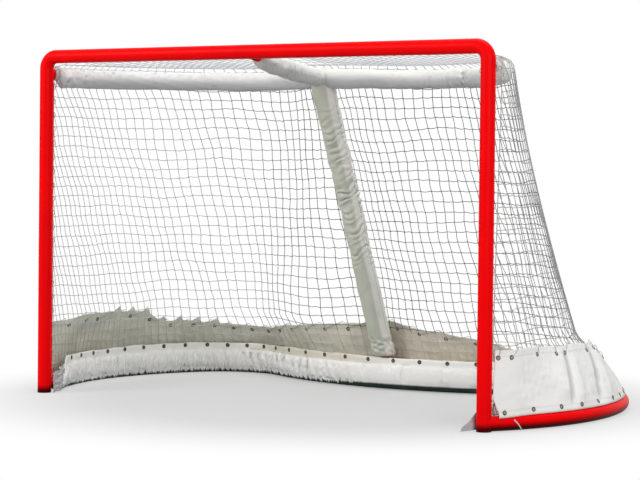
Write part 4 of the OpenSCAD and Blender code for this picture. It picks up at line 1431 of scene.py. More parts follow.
@dataclass
class EyeletRows:
    """The three rows of eyelets: along the skirt's top, along its hem, and along the base pad's hem.

    Attributes:
        drape: The surfaces that the skirt follows.
        skirt: The skirt.
        pad: The base pad.
        eyelets: One eyelet.
        top_places: Distances of the first top eyelets from a post, then spaced as the rest.
        hem_places: The same for the hem.
        pad_count: Number of eyelets in the pad's hem.
        pad_start: Distance of the first of them from the post.
        pad_z: Their height.
        top_t: How far down the skirt its top eyelets are, as a share.
        hem_t: The same for the hem's.
    """

    drape: Drape
    skirt: Skirt
    pad: "BasePad"
    eyelets: Eyelets = field(default_factory=Eyelets)
    top_places: tuple[float, ...] = (0.011, 0.046, 0.204, 0.335, 0.411)
    hem_places: tuple[float, ...] = (0.021, 0.140, 0.270, 0.379, 0.499, 0.625)
    pad_count: int = 38
    pad_start: float = 0.076
    pad_z: float = 0.114
    top_t: float = 0.115
    hem_t: float = 0.925

    def build(self) -> list[bpy.types.Object]:
        """Makes the three rows."""
        metal = Grommet("eyelet_brass").make()
        shade = Shade().make()
        # Painted shade in the bore of the skirt's eyelets.
        dust = Shade("eyelet_bore_shade", (0.40, 0.38, 0.34), (0.25, 0.23, 0.20)).make()
        made = []
        for name, node, t, first in (("skirt_top_eyelets", "skirt_eyelets_top", self.top_t, self.top_places),
                                     ("skirt_hem_eyelets", "skirt_eyelets_hem", self.hem_t, self.hem_places)):
            w = self.places(first)
            tt = np.full(w.shape, t)
            p, n = self.skirt.surface(w, tt), self.skirt.normals(w, tt)
            skin = Skin()
            for side in (1, -1):
                lift = self.skirt.thick / 2 + 0.0001
                self.eyelets.add_to(skin, self.drape.frame.placed(p + side * n * lift), side * n)
            made.append(self._finish(skin, name, node, [metal, dust]))
        half = self.drape.frame.base.half
        s = np.linspace(self.pad_start, 2 * half - self.pad_start, self.pad_count)
        p, n = self.pad.hem_at(s, self.pad_z)
        skin = Skin()
        self.eyelets.add_to(skin, self.drape.frame.placed(p), n)
        made.append(self._finish(skin, "pad_hem_eyelets", "base_pad_eyelets", [metal, shade]))
        return made

    def places(self, first: tuple[float, ...]) -> Array:
        """Places w of a row: the first ones as given, the rest in the middle of each length of the skirt."""
        base = self.drape.frame.base
        a, b = base.len_side / base.half, (base.len_side + base.len_lobe) / base.half
        half = np.concatenate([np.linspace(0, a, 10)[:-1], np.linspace(a, b, 6)[:-1], np.linspace(b, 1, 6)])
        mids = (half[1:] + half[:-1]) / 2
        mids[:len(first)] = np.array(first) / base.half
        return np.concatenate([mids, 2 - mids[::-1]])

    def _finish(self, skin: Skin, name: str, node: str,
                materials: list[bpy.types.Material]) -> bpy.types.Object:
        obj = skin.build(name, materials)
        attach(obj, BODY)
        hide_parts(node)
        return obj


# ---- Padding ------------------------------------------------------------------------------------------


@dataclass
class Swelling:
    """Blows a closed skin up a little, as cloth over foam does, and keeps how far each point may move.

    Attributes:
        pressure: Air pressure in the cloth solver.
        frames: Number of steps.
        cap: Furthest that a point may move, in metres.
        grow: How much longer than drawn the cloth is cut, so that it buckles.
    """

    pressure: float = 4.0
    frames: int = 20
    cap: float = 0.005
    grow: float = 0.04

    def run(self, obj: bpy.types.Object, held: Array) -> None:
        """Simulates the piece and writes the capped result into its mesh.

        Args:
            obj: The piece.
            held: For each vertex, whether it is sewn down.
        """
        scene = bpy.context.scene
        group = obj.vertex_groups.new(name="held")
        group.add(np.flatnonzero(held).tolist(), 1.0, "REPLACE")
        cloth = obj.modifiers.new("cloth", "CLOTH")
        cloth.settings.use_pressure = True
        cloth.settings.uniform_pressure_force = self.pressure
        cloth.settings.vertex_group_mass = "held"
        cloth.settings.shrink_min = -self.grow
        cloth.settings.quality = 5
        cloth.settings.tension_stiffness = cloth.settings.compression_stiffness = 15
        cloth.settings.bending_stiffness = 0.5
        cloth.settings.effector_weights.gravity = 0
        cloth.collision_settings.use_collision = False
        cloth.point_cache.frame_start, cloth.point_cache.frame_end = 1, self.frames
        size = len(obj.data.vertices) * 3
        rest, moved = np.empty(size, np.float32), np.empty(size, np.float32)
        obj.data.vertices.foreach_get("co", rest)
        for step in range(1, self.frames + 1):
            scene.frame_set(step)
        final = obj.evaluated_get(bpy.context.evaluated_depsgraph_get())
        final.data.vertices.foreach_get("co", moved)
        shift = (moved - rest).reshape(-1, 3)
        far = np.linalg.norm(shift, axis=1, keepdims=True)
        shift *= np.minimum(1, self.cap / np.maximum(far, 1e-9))
        obj.modifiers.remove(cloth)
        obj.vertex_groups.clear()
        obj.data.vertices.foreach_set("co", (rest + shift.ravel()))
        obj.data.update()
        scene.frame_set(1)
        LOG.info("%s swelled by up to %.1f mm", obj.name, 1000 * float(np.minimum(far, self.cap).max()))


class Run(Enum):
    """Which tube a sleeve lies on."""

    RIGHT_TOP = 0
    LEFT_TOP = 1
    STRUT = 2
    CENTRE_POST = 3


@dataclass
class Sleeve:
    """A padded sleeve on a tube: a skin of rings carried along the tube, with a lining against the tube.

    Attributes:
        name: Name of the piece.
        node: The solid that it stands for.
        run: The tube that it lies on.
        start: Distance along the tube at which it starts.
        end: Distance at which it ends.
        bore: Radius of the lining.
        ties: Radius at the start and at the end.
        draws: Length over which the start and the end are drawn in.
        mitres: How far the outer side runs on past each end, per metre of radius.
        full: Radius of the full padding.
        drop: How far the padding hangs below the tube's axis.
        fill: How tight the padding is, from 0 to 1; not used.
        around: Number of points in a ring.
        step: Distance between rings.
        seed: Seed of its creases.
    """

    name: str
    node: str
    run: Run
    start: float
    end: float
    bore: float
    ties: tuple[float, float]
    draws: tuple[float, float]
    mitres: tuple[float, float] = (0.0, 0.0)
    full: float = 0.0395
    drop: float = 0.0
    fill: float = 0.6
    around: int = 48
    step: float = 0.0045
    seed: int = 41

    def axis(self, frame: Frame, s: Array) -> tuple[Array, Array, Array, Array]:
        """Centre of the tube at distances s, with sideways, upward and forward unit vectors."""
        if self.run in (Run.RIGHT_TOP, Run.LEFT_TOP):
            at = s if self.run is Run.RIGHT_TOP else 2 * frame.top.half - s
            p, n = frame.top.at(at)
            centre = lifted(p, frame.top_z)
            up = np.broadcast_to(UP, centre.shape)
            side = lifted(n)
            return centre, side, up, np.cross(up, side)
        a, b = (frame.strut_front, frame.hub) if self.run is Run.STRUT else (frame.hub, frame.foot)
        d = unit(b - a)
        across = np.array([1.0, 0, 0])
        other = np.cross(across, d)
        other = other * (1 if other[2] > 0 else -1)
        across, other, ahead = (np.broadcast_to(part, (len(s), 3)) for part in (across, other, d))
        return a + s[:, None] * d, across, other, ahead

    def radius(self, s: Array) -> Array:
        """Radius of the padding at distance s: full, drawn in as a quarter round at each end."""
        e = (s - self.start, self.end - s)
        r = np.full(len(s), self.full)
        for gap, tie, draw in zip(e, self.ties, self.draws):
            r = r - (self.full - tie) * (1 - quarter(gap / draw))
        return r

    def relief(self, s: Array, a: Array) -> Array:
        """How far the skin stands out at distance s and angle a; nothing at the very ends."""
        e = (s - self.start, self.end - s)
        a = a[None]
        long = s[:, None] + np.zeros_like(a)
        turn = a * self.full
        kinds = {Run.STRUT: self._strut_creases, Run.CENTRE_POST: self._post_creases}
        creases = kinds.get(self.run, self._top_creases)
        rim = smooth(np.minimum(*e) / 0.012)[:, None]
        return rim * creases(long, a, turn)

    def _strut_creases(self, s: Array, a: Array, turn: Array) -> Array:
        """Short gathers across the upper side, half way along, over a soft unevenness."""
        skew = s + 0.012 * np.sin(a) + 0.006 * ripple(s, turn, 0.05, self.seed)
        near = bell(s - 0.225, 0.060) * smooth(0.35 + np.sin(a + 0.5))
        soft = 0.0012 * ripple(s, turn, 0.07, self.seed + 1) + 0.0006 * ripple(s, turn, 0.025, self.seed + 2)
        wave = np.sin(2 * np.pi * skew / 0.0170)
        return 0.0030 * near * pinched(wave) + soft

    def _post_creases(self, s: Array, a: Array, turn: Array) -> Array:
        """Sharp creases across the right side of the upper half, faint ones below, and a crumpled cuff."""
        span = self.end - self.start
        z = s - self.start
        skew = z + 0.012 * np.cos(a) + 0.010 * ripple(s, turn, 0.09, self.seed)
        wave = np.sin(2 * np.pi * skew / 0.0270) + 0.6 * np.sin(2 * np.pi * skew / 0.0163 + 1)
        body = smooth((z - 0.09) / 0.06) * smooth((0.90 - z) / 0.34)
        gate = np.clip(0.65 + 0.75 * ripple(s, turn, 0.12, self.seed + 2), 0.15, 1.4)
        crease = 0.0030 * body * gate * pinched(wave) * (0.10 + 0.90 * smooth(0.35 + np.cos(a + 0.35)))
        low = smooth((z - span + 0.13) / 0.06)
        coarse = 0.0030 * ripple(s, turn, 0.030, self.seed + 3)
        cuff = low * (coarse + 0.0014 * ripple(s, turn, 0.013, self.seed + 4))
        flare = 0.0035 * smooth((z - span + 0.07) / 0.06)
        return crease + cuff + flare + 0.0014 * ripple(s, turn, 0.10, self.seed + 5)

    def _top_creases(self, s: Array, a: Array, turn: Array) -> Array:
        """A soft unevenness, a crumpled end, crinkles on the left crown, and a groove in the right bend."""
        end = 0.0042 * np.exp(-(s - self.start) / 0.06)
        crumple = end * (ripple(s, turn, 0.034, self.seed + 2) + 0.4 * np.sin(7 * a + 60 * s))
        if self.run is Run.RIGHT_TOP:
            bend = bell(s - 0.635, 0.075)
            rough = ripple(s, turn, 0.040, 44) + 0.6 * ripple(s, turn, 0.019, 45)
            crumple = crumple + 0.0036 * bend * rough
            groove = 0.0040 * bell(s - 0.735 + 0.004 * np.sin(2 * a), 0.006)
            crumple = crumple - groove + 0.0024 * bell(s - 0.690, 0.030)
        if self.run is Run.LEFT_TOP:
            crown = 0.0022 * smooth(0.2 + np.sin(a))
            crumple = crumple + crown * ripple(s, turn, 0.026, 46) * (1 - smooth((s - 0.75) / 0.3))
        soft = 0.0012 * ripple(s, turn, 0.12, self.seed) + 0.0007 * ripple(s, turn, 0.035, self.seed + 1)
        return crumple + soft

    def build(self, frame: Frame, vinyl: bpy.types.Material) -> bpy.types.Object:
        """Makes the sleeve.

        Args:
            frame: The tubes.
            vinyl: Its material.

        Returns:
            The piece.
        """
        n = int((self.end - self.start) / self.step)
        ease = np.sin(np.linspace(-np.pi / 2, np.pi / 2, n)) / 2 + 0.5
        s = self.start + (self.end - self.start) * (0.08 * ease + 0.92 * np.linspace(0, 1, n))
        a = round_angles(self.around)
        relief = self.relief(s, a)
        outer = self._rings(frame, s, self.radius(s)[:, None] + relief, a, self.drop)
        m = max(6, n // 4)
        back = np.linspace(self.end, self.start, m)
        lining = self._rings(frame, back, np.full((m, self.around), self.bore), a, 0)
        points = np.concatenate([outer, lining])
        skin = Skin()
        span = np.zeros(points.shape)
        span[:n, :, 0], span[:n, :, 1], span[:n, :, 2] = s[:, None], a[None] * self.full, -relief / 0.0028
        faces = lattice(len(points), self.around, True, True)
        skin.add(points, faces if self._faces_out(points) else faces[:, ::-1], 0, span)
        obj = skin.build(self.name, [vinyl])
        held = np.zeros(points.shape[:2], bool)
        held[n:] = held[:3] = held[n - 3:n] = True
        Swelling().run(obj, held.ravel())
        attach(obj, BODY)
        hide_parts(self.node)
        return obj

    def _rings(self, frame: Frame, s: Array, r: Array, a: Array, drop: float) -> Array:
        """Rings at distances s: centre + r * (cos a * across + sin a * up), slid along by the mitres.

        Near an end the slide is the mitre times r sin a, which turns a square end into a slanted one.
        """
        centre, across, up, ahead = self.axis(frame, s)
        ring = np.cos(a)[:, None] * across[:, None] + np.sin(a)[:, None] * up[:, None]
        near = [1 - smooth(gap / 0.14) for gap in (s - self.start, self.end - s)]
        slide = (self.mitres[1] * near[1] - self.mitres[0] * near[0])[:, None] * r * np.sin(a)
        middle = centre - drop * smooth((s - self.start) / 0.03)[:, None] * up
        return frame.placed(middle[:, None] + r[..., None] * ring + slide[..., None] * ahead[:, None])

    @staticmethod
    def _faces_out(points: Array) -> bool:
        """Whether quads in plain order face outwards, from a ring of the outer skin."""
        mid = len(points) // 4
        p, q, t = points[mid, 0], points[mid, 1], points[mid + 1, 0]
        centre = points[mid].mean(0)
        return float(np.dot(np.cross(q - p, t - p), p - centre)) > 0


@dataclass
class BasePad:
    """The wedge of foam in vinyl inside the base tube: one profile carried round the base.

    Attributes:
        frame: The tubes.
        start: Distance from the post at which the pad starts.
        top: Height of its top edge.
        reach: Reach of its face inwards from the base tube's centre line.
        hem: Height of the flat hem along its top.
        pleat: Depth of the gathers on the left half.
        step: Distance between profiles on the right half.
        close_step: The same on the left half.
        around: Number of points in a profile.
        core: Reach and height towards which the ends are drawn in.
        draw: Length over which they are.
    """

    frame: Frame
    start: float = 0.062
    top: float = 0.126
    reach: float = 0.066
    hem: float = 0.029
    pleat: float = 0.0068
    step: float = 0.0060
    close_step: float = 0.0030
    around: int = 52
    core: tuple[float, float] = (0.044, 0.050)
    draw: float = 0.024

    def profile(self) -> Array:
        """The closed profile as inward reach and height, evenly spaced and with its corners eased."""
        lap = np.radians(np.linspace(-52, 44, 9))
        tube = self.frame.base_r
        back = np.stack([(tube + 0.0005) * np.cos(lap), tube + (tube + 0.0005) * np.sin(lap)], -1)
        r, h = self.reach, self.top
        seam = h - self.hem
        front = np.array([
            [0.030, 0.060], [r - 0.016, h - 0.034], [r - 0.0075, seam], [r - 0.007, h - 0.002],
            [r - 0.004, h], [r - 0.001, h - 0.001], [r, h - 0.004], [r - 0.0005, seam + 0.002],
            [r - 0.0022, seam - 0.001],
            [r + 0.001, seam - 0.006], [r + 0.0035, 0.085], [r + 0.0035, 0.066], [r + 0.001, 0.044],
            [r - 0.004, 0.028], [r - 0.008, 0.020], [r - 0.009, 0.007], [r - 0.012, 0.0025], [0.040, 0.002],
            [0.022, 0.002]])
        loop = np.concatenate([back, front])
        loop = np.concatenate([loop, loop[:1]])
        length = np.concatenate([[0], np.cumsum(np.linalg.norm(np.diff(loop, axis=0), axis=1))])
        at = np.linspace(0, length[-1], self.around, endpoint=False)
        even = np.stack([np.interp(at, length, loop[:, i]) for i in (0, 1)], -1)
        return 0.8 * even + 0.1 * (np.roll(even, 1, 0) + np.roll(even, -1, 0))

    def left_half(self, run: Array) -> Array:
        """Eases from 0 to 1 where the gathered left half sets in, past the middle."""
        return smooth((run - self.frame.base.half - 0.02) / 0.22)

    def shape(self, run: Array, u: Array, z: Array, nu: Array, nz: Array) -> tuple[Array, Array, Array]:
        """Where a point of the profile comes to lie, as inward reach and height.

        It moves along the profile's own normal by gathers, which run down the face of the left half, by broad
        soft dents and by the hem's waves. The toe of the left half is ragged, and both ends are sewn in.

        Args:
            run: Distance round the base.
            u: Reach of the profile's point.
            z: Its height.
            nu: Inward part of the profile's normal.
            nz: Upward part.

        Returns:
            Reach, height, and the gathers' depth below the face, in metres.
        """
        half = self.frame.base.half
        left = self.left_half(run)
        face = smooth((u - 0.050) / 0.008) * smooth((self.top - self.hem - z) / 0.012)
        face = face * smooth((z - 0.004) / 0.006)
        low = smooth((0.085 - z) / 0.060)
        warp = run + 0.006 * np.sin(run * 31) + 0.004 * ripple(run, z * 2, 0.05, 61) + 0.06 * (z - 0.06)
        tight = smooth((run - half - 0.75) / 0.35)
        fine = (1 - 2 * np.abs(np.sin(np.pi * warp / 0.0165)) ** 0.8) * (0.25 + 0.75 * tight)
        puffs = 1 - 2 * np.abs(np.sin(np.pi * (warp + 0.012 * ripple(run, z * 0, 0.2, 68)) / 0.052)) ** 0.7
        puffs = puffs * (1 - 0.7 * tight) * smooth((z - 0.015) / 0.05)
        uneven = 0.65 + 0.45 * ripple(run, z, 0.11, 62)
        gather = self.pleat * left * face * uneven * ((0.35 + 0.65 * low) * fine + 0.8 * puffs)
        dents = face * (0.0026 * ripple(run, z, 0.17, 63) + 0.0016 * left * ripple(run, z, 0.030, 64))
        waves = 0.0016 * ripple(run, z * 0, 0.16, 65) + 0.0008 * ripple(run, z * 0, 0.05, 69)
        move = gather + dents + waves * smooth((z - 0.095) / 0.01) * smooth((u - 0.04) / 0.005)
        reach, height = u + move * nu, z + move * nz
        toe = smooth((0.030 - z) / 0.012) * smooth((u - 0.045) / 0.01)
        height = height + toe * left * 0.009 * np.maximum(0, ripple(run, z * 0, 0.026, 66) + 0.25)
        height = height + 0.0024 * ripple(run, z * 0, 0.28, 67) * smooth((z - 0.09) / 0.02)
        reach = np.minimum(reach, self.reach + 0.0100)
        gap = np.minimum(run - self.start, 2 * half - self.start - run)
        close = 0.35 + 0.65 * quarter(gap / self.draw)
        rumple = 0.0035 * ripple(run + u, z, 0.028, 70) * np.exp(-gap / 0.03)
        core_u, core_z = self.core
        reach = core_u + (reach - core_u) * close + rumple * nu
        height = core_z + (height - core_z) * close + rumple * nz
        height = height * (1 - 0.40 * smooth((run - 2 * half + 0.130) / 0.070))
        return reach, np.maximum(height, 0.0015), -gather - dents * face

    def hem_at(self, s: Array, z: float) -> tuple[Array, Array]:
        """Points on the hem's face at distances s and a height, and their level normals."""
        p, n = self.frame.base.at(s)
        reach, height, _ = self.shape(s, np.full(s.shape, self.reach), np.full(s.shape, z), 1.0, 0.0)
        points = np.concatenate([p - reach[:, None] * n, height[:, None]], -1)
        return points, lifted(-n)

    def build(self, vinyl: bpy.types.Material) -> bpy.types.Object:
        """Makes the pad: its profile at close stations on the gathered left half, wider on the right."""
        half = self.frame.base.half
        right = np.arange(self.start, half - 0.1, self.step)
        end = 2 * half - self.start
        left = np.linspace(half - 0.1, end, int((half + 0.04) / self.close_step))
        near = [self.start + np.array([0.0008, 0.002, 0.0035]), end - np.array([0.0008, 0.002])]
        s = np.unique(np.concatenate([right, left, *near]))
        prof = self.profile()
        d = np.roll(prof, -1, 0) - np.roll(prof, 1, 0)
        normal = unit(np.stack([d[:, 1], -d[:, 0]], -1))
        normal *= np.sign((normal[:, 0] * (prof[:, 0] - 0.045)).sum())
        u, z = prof[None, :, 0], prof[None, :, 1]
        run = s[:, None] + np.zeros_like(z)
        reach, height, depth = self.shape(run, u, z, normal[None, :, 0], normal[None, :, 1])
        p, n = self.frame.base.at(s)
        points = self.frame.placed(np.concatenate([
            p[:, None] - reach[..., None] * n[:, None], height[..., None]], -1))
        skin = Skin()
        faces = lattice(len(s), self.around, False, True)
        span = np.stack([run, depth / 0.0060, self.left_half(run)], -1)
        flip = self._faces_in(points)
        skin.add(points, faces[:, ::-1] if flip else faces, 0, span)
        ends = np.stack([np.arange(self.around), (len(s) - 1) * self.around + np.arange(self.around)[::-1]])
        skin.more(ends[:, ::-1] if not flip else ends, 0)
        obj = skin.build("base_pad_wedge", [vinyl])
        held = (z < 0.003) | (u < 0.036) | (z > self.top - self.hem)
        held = np.broadcast_to(held, run.shape).copy()
        held[:2] = held[-2:] = True
        Swelling(cap=0.004, grow=0.03).run(obj, held.ravel())
        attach(obj, BODY)
        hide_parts("base_pad_side_left", "base_pad_side_right", "base_pad_lobe_left",
                    "base_pad_lobe_right", "base_pad_rear")
        return obj

    @staticmethod
    def _faces_in(points: Array) -> bool:
        """Whether quads in plain order face into the pad, by the sign of a short length's volume."""
        ring, after = points[10], points[11]
        centre = ring.mean(0)
        n = np.cross(np.roll(ring, -1, 0) - ring, after - ring)
        return float((n * (ring - centre)).sum()) < 0


@dataclass
class Flap:
    """The loose vinyl flap at an end of the base pad, drawn to a corner on the floor by the post.

    Attributes:
        frame: The tubes.
        side: 1 for the right, -1 for the left.
        tip: Place of the floor corner from the post, inwards and back, in metres.
        crumple: Depth of its creases.
        rise: Height of the flap's edge at the post.
        thick: Thickness of the vinyl.
        steps: Number of points along each edge.
        low: Height of its lowest line.
    """

    frame: Frame
    side: int
    tip: tuple[float, float]
    crumple: float = 0.0012
    rise: float = 0.012
    thick: float = 0.0018
    steps: int = 34
    low: float = 0.0022

    def build(self, vinyl: bpy.types.Material) -> bpy.types.Object:
        """Makes the flap: a thin closed sheet whose rows narrow to the floor corner, with soft folds."""
        p, n = self.frame.base.at(np.array(0.0614))
        top = np.array([*(p - 0.064 * n), 0.102])
        low = np.array([*(p - 0.058 * n), 0.004])
        tip_low = np.array([self.frame.post_x - self.tip[0], self.tip[1], self.low])
        tip_high = tip_low + [0.002, 0.002, self.rise]
        u = np.linspace(0, 1, self.steps)[:, None, None]
        v = np.linspace(0, 1, self.steps)[None, :, None]
        near = top * (1 - v) + low * v
        far = tip_high * (1 - v) + tip_low * v
        face = unit(np.cross(low - top, tip_low - top))
        swing = np.sin(np.pi * u)
        creases = ripple(u * 0.1 + 0 * v, v * 0.1 + 0 * u, 0.030, 91 + self.side)
        broad = 0.0035 * np.sin(5.0 * u + 1.2 * v)
        fold = swing * (broad + self.crumple * (np.sin(14 * u + 2 * v) + creases))
        sheet = near * (1 - u) + far * u + fold * face
        sheet[..., 2] = np.maximum(sheet[..., 2], self.low)
        mirror = np.array([self.side, 1, 1])
        sheet, normal = sheet * mirror, face * mirror
        run = np.concatenate([u + 0 * v, v + 0 * u, 0 * (u + v)], -1) * [0.1, 0.1, 1]
        skin = Skin()
        placed, out = self.frame.placed, normal * self.thick / 2
        shell(skin, placed(sheet + out), placed(sheet - out), run, flip=self.side < 0)
        word = "right" if self.side > 0 else "left"
        obj = skin.build(f"pad_flap_{word}", [vinyl])
        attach(obj, BODY)
        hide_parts(f"base_pad_flap_{word}")
        return obj


@dataclass
class CornerTie:
    """The white cord that holds the skirt's front corner down over the base tube.

    Attributes:
        frame: The tubes.
        at: Distance round the base at which it starts.
        slant: How much further along it ends.
        radius: Radius of the cord.
        arc: Angles above the level at which it starts and ends, in degrees.
        steps: Number of points along it.
    """

    frame: Frame
    at: float = 0.097
    slant: float = 0.034
    radius: float = 0.002
    arc: tuple[float, float] = (29, -55)
    steps: int = 24

    def build(self, cord: bpy.types.Material) -> bpy.types.Object:
        """Makes the cord: an arc round the outside of the base tube that slants back as it goes down."""
        s = self.at + self.slant * np.linspace(0, 1, self.steps)
        p, n = self.frame.base.at(s)
        a = np.radians(np.linspace(*self.arc, self.steps))[:, None]
        r = self.frame.base_r + self.radius + 0.0002
        out = lifted(n)
        centre = lifted(p, self.frame.base_r)
        path = self.frame.placed(centre + r * (np.cos(a) * out + np.sin(a) * UP))
        skin = Skin()
        strands(skin, path[None], self.radius, out[None], 12)
        obj = skin.build("corner_tie_cord", [cord])
        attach(obj, BODY)
        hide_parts("corner_tie")
        2 * self.radius
        return obj


# ---- Studio -------------------------------------------------------------------------------------------


@dataclass
class Studio:
    """Camera, lamps, floor and backdrop.

    Attributes:
        frame: The tubes.
        spot: Camera position from the goal line, in metres.
        yaw: Turn of the camera to the left, in radians.
        pitch: Downward tilt.
        roll: Roll.
        lens: Focal length on a 36 mm sensor.
        shift: Sensor shift.
        ambient: Strength of the even light.
        key: Power of the overhead lamp.
        left: Power of the lamp in front on the left.
        right: Power of the lamp in front on the right.
        floor_tone: Grey of the floor.
        floor_glow: Light that the near floor adds for the camera, so that it reads as pale.
    """

    frame: Frame
    spot: tuple[float, float, float] = (4.1392458, -5.6353084, 0.84598906)
    yaw: float = 0.549950632
    pitch: float = 0.0201942312
    roll: float = 0.0117288582
    lens: float = 113.064
    shift: tuple[float, float] = (-0.15457, -0.04752)
    ambient: float = 0.38
    key: float = 125.0
    left: float = 205.0
    right: float = 135.0
    floor_tone: float = 0.34
    floor_glow: float = 0.33

    def camera(self) -> None:
        """Sets the camera from its position and its three angles."""
        sy, cy = math.sin(self.yaw), math.cos(self.yaw)
        sp, cp = math.sin(self.pitch), math.cos(self.pitch)
        ahead = np.array([-sy * cp, cy * cp, -sp])
        right = np.array([cy, sy, 0])
        up = np.cross(right, ahead)
        sr, cr = math.sin(self.roll), math.cos(self.roll)
        across, above = right * cr + up * sr, up * cr - right * sr
        data = bpy.data.cameras.new("camera")
        data.sensor_width, data.lens = 36, self.lens
        data.shift_x, data.shift_y = self.shift
        data.clip_end = 60
        cam = bpy.data.objects.new("camera", data)
        self._set(cam, self.frame.placed(np.array(self.spot)), across, above, -ahead)
        bpy.context.scene.camera = cam

    @staticmethod
    def _set(obj: bpy.types.Object, place: Array, right: Array, up: Array, back: Array) -> None:
        """Adds an object to the scene at a place, with its own axes along three unit vectors."""
        rows = np.eye(4)
        rows[:3] = np.stack([right, up, back, place], 1)
        obj.matrix_world = Matrix(rows.tolist())
        bpy.context.scene.collection.objects.link(obj)

    @staticmethod
    def _rays(s: Shader) -> tuple[Signal, Signal]:
        """Whether a ray is the camera's own, and whether it is that or has met gloss or glass."""
        kinds = ("Camera", "Glossy", "Transmission")
        eye, gloss, glass = (s.add("ShaderNodeLightPath", out=f"Is {kind} Ray") for kind in kinds)
        return eye, eye.most(gloss).most(glass)

    def lamp(self, name: str, power: float, place: tuple, aim: tuple, size: float) -> None:
        """Adds a square soft lamp."""
        data = bpy.data.lights.new(name, "AREA")
        data.energy, data.size = power, size
        back = unit(np.array(place, float) - np.array(aim, float))
        right = unit(np.cross([0, 1, 0.01], back))
        self._set(bpy.data.objects.new(name, data), np.array(place), right, np.cross(back, right), back)

    def world(self) -> None:
        """Even light from all round; the camera, gloss and glass see plain white."""
        bpy.context.scene.world = bpy.data.worlds.new("studio")
        s = Shader("studio", bpy.context.scene.world)
        _, share = self._rays(s)
        seen = s.add("ShaderNodeBackground", values={"Color": (1.0, 1.0, 1.0), "Strength": 1.0})
        lit = s.add("ShaderNodeBackground", values={"Color": (0.97, 0.98, 1.0), "Strength": self.ambient})
        even = s.add("ShaderNodeMixShader", values={0: share, 1: lit, 2: seen})
        s.add_output(even, "ShaderNodeOutputWorld")

    def floor(self) -> bpy.types.Object:
        """A wide plain floor that keeps the shadow near the goal and is white to the camera beyond it.

        The white sets in with the distance from the goal's middle, and only for the camera, gloss and glass.
        """
        skin = Skin()
        x, y = np.meshgrid(np.linspace(-14, 14, 3), np.linspace(-14, 14, 3))
        skin.add(np.stack([x, y, np.full(x.shape, -0.0012)], -1), lattice(3, 3), 0)
        s = Shader("floor")
        grain = s.noise(s.place, 2.0, 3)
        tone = s.mix(grain, (self.floor_tone,) * 3, (self.floor_tone - 0.02,) * 3)
        lit = s.add("ShaderNodeBsdfDiffuse", values={"Color": tone})
        glow = s.add("ShaderNodeEmission", values={"Color": (1.0, 1.0, 1.0), "Strength": self.floor_glow})
        white = s.add("ShaderNodeEmission", values={"Color": (1.0, 1.0, 1.0), "Strength": 1.0})
        none = s.add("ShaderNodeEmission", values={"Color": (0.0, 0.0, 0.0), "Strength": 0.0})
        eye, seen = self._rays(s)
        x, y = s.axis(s.place, "X"), s.axis(s.place, "Y")
        far = (x * x + y * y).power(0.5).ease(0.75, 1.60)
        extra = s.add("ShaderNodeMixShader", values={0: eye, 1: none, 2: glow})
        near = s.add("ShaderNodeAddShader", values={0: lit, 1: extra})
        s.add_output(s.add("ShaderNodeMixShader", values={0: seen * far, 1: near, 2: white}))
        obj = skin.build("floor", [s.material])
        return obj

    def build(self) -> None:
        """Sets up the camera, the light and the floor."""
        bpy.context.scene.view_settings.view_transform = "Standard"
        self.camera()
        self.world()
        self.floor()
        self.lamp("overhead", self.key, (0.5, 0.7, 4.6), (0, 0, 0.4), 3.6)
        self.lamp("front_left", self.left, (-3.2, -4.6, 3.0), (0, 0, 0.6), 3.0)
        self.lamp("front_right", self.right, (4.4, -3.2, 2.2), (0.4, 0, 0.3), 2.6)


def paint_tubes() -> None:
    """Gives every steel tube and lacing rod its enamel."""
    enamel = TubePaint().make()
    for name, node in frame["nodes"].items():
        if node.data.materials and name.startswith(TUBES) and not name.endswith("pad"):
            for i in range(len(node.data.materials)):
                node.data.materials[i] = enamel


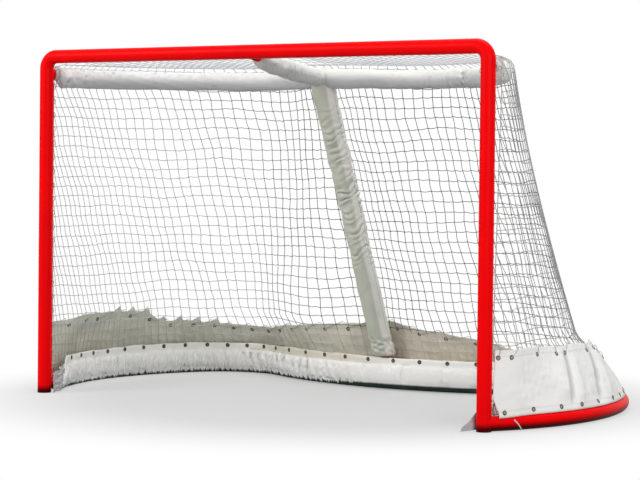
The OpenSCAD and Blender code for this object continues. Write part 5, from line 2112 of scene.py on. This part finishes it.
def add_sleeves(tubes: Frame) -> None:
    """Adds the padded sleeves of the top tube, the strut and the centre post, each in its own vinyl."""
    top_r, strut_r, post_r = 0.0338, 0.0325, 0.0410
    white = PadVinyl("pad_vinyl_white", girth=top_r).make()
    strut_white = PadVinyl("strut_pad_vinyl", girth=strut_r, shaded=(0.56, 0.58, 0.56)).make()
    post_white = PadVinyl("post_pad_vinyl", (0.80, 0.80, 0.74), (0.60, 0.60, 0.52), creases=(3, 3, 12),
                          girth=post_r, turn=0.74, blur=0.16, shaded=(0.50, 0.52, 0.43)).make()
    tan_30 = math.tan(math.radians(30))
    slope = (tubes.foot - tubes.hub)[1:] / np.linalg.norm(tubes.foot - tubes.hub)
    slant = float(slope[0] / -slope[1])
    hub_length = float(np.linalg.norm(tubes.hub - tubes.strut_front))
    post_length = (tubes.top_z - 0.128) / -slope[1]
    tops = [Sleeve(f"top_sleeve_{word}", f"top_pad_{word}", run, start=0.046, end=tubes.top.half - 0.023,
                   bore=0.01735, ties=(0.024, 0.0305), draws=(0.030, 0.010), full=top_r, drop=0.0122,
                   seed=seed)
            for word, run, seed in (("right", Run.RIGHT_TOP, 41), ("left", Run.LEFT_TOP, 51))]
    strut = Sleeve("strut_sleeve", "strut_pad", Run.STRUT, start=0.033, end=hub_length, bore=0.01625,
                   ties=(0.020, 0.0315), draws=(0.190, 0.005), mitres=(0.0, tan_30), full=strut_r,
                   drop=0.0095, seed=71)
    post = Sleeve("centre_post_sleeve", "centre_post_pad", Run.CENTRE_POST, start=0.0, end=post_length,
                  bore=0.01625, ties=(0.0365, 0.036), draws=(0.012, 0.010), mitres=(tan_30, slant),
                  full=post_r, seed=81)
    for sleeve, material in ((tops[0], white), (tops[1], white), (strut, strut_white), (post, post_white)):
        LOG.info("made %s", sleeve.build(tubes, material).name)


def add_base_pad(tubes: Frame) -> BasePad:
    """Adds the base pad and the two flaps at its ends, and returns the pad."""
    vinyl = PadVinyl("base_pad_vinyl_white", (0.87, 0.87, 0.84), (0.62, 0.62, 0.56), hem_z=0.0975,
                     hem=(0.66, 0.62, 0.49), shade_band_z=0.020, valley="Y").make()
    pad = BasePad(tubes)
    LOG.info("made %s", pad.build(vinyl).name)
    grey = PadVinyl("flap_vinyl_grey", (0.50, 0.50, 0.50), (0.26, 0.26, 0.26), soiling=0.7,
                    creases=(30, 30, 3)).make()
    left = Flap(tubes, -1, tip=(0.045, 0.001), crumple=0.0045, rise=0.066)
    for flap in (left, Flap(tubes, 1, tip=(0.052, -0.059))):
        LOG.info("made %s", flap.build(grey).name)
    return pad


def main() -> None:
    """Builds each part of the goal in order."""
    logging.basicConfig(level=logging.INFO, format="%(name)s: %(message)s")
    tubes = Frame()
    Studio(tubes).build()
    drape = Drape(tubes)
    cord = Twine("tie_cord_white", (0.85, 0.85, 0.83), (0.70, 0.70, 0.67), floor_z=0.0, unshaded_x=-10.0,
                 lay=0.006)
    CornerTie(tubes).build(cord.make())
    paint_tubes()
    add_sleeves(tubes)
    base_pad = add_base_pad(tubes)
    skirt = Skirt(drape)
    LOG.info("made %s", skirt.build().name)
    eyelets = EyeletRows(drape, skirt, base_pad)
    for obj in eyelets.build() + Netting(drape).build(skirt, eyelets.places(eyelets.top_places)):
        LOG.info("made %s, %d faces", obj.name, len(obj.data.polygons))


if __name__ == "__main__":
    main()
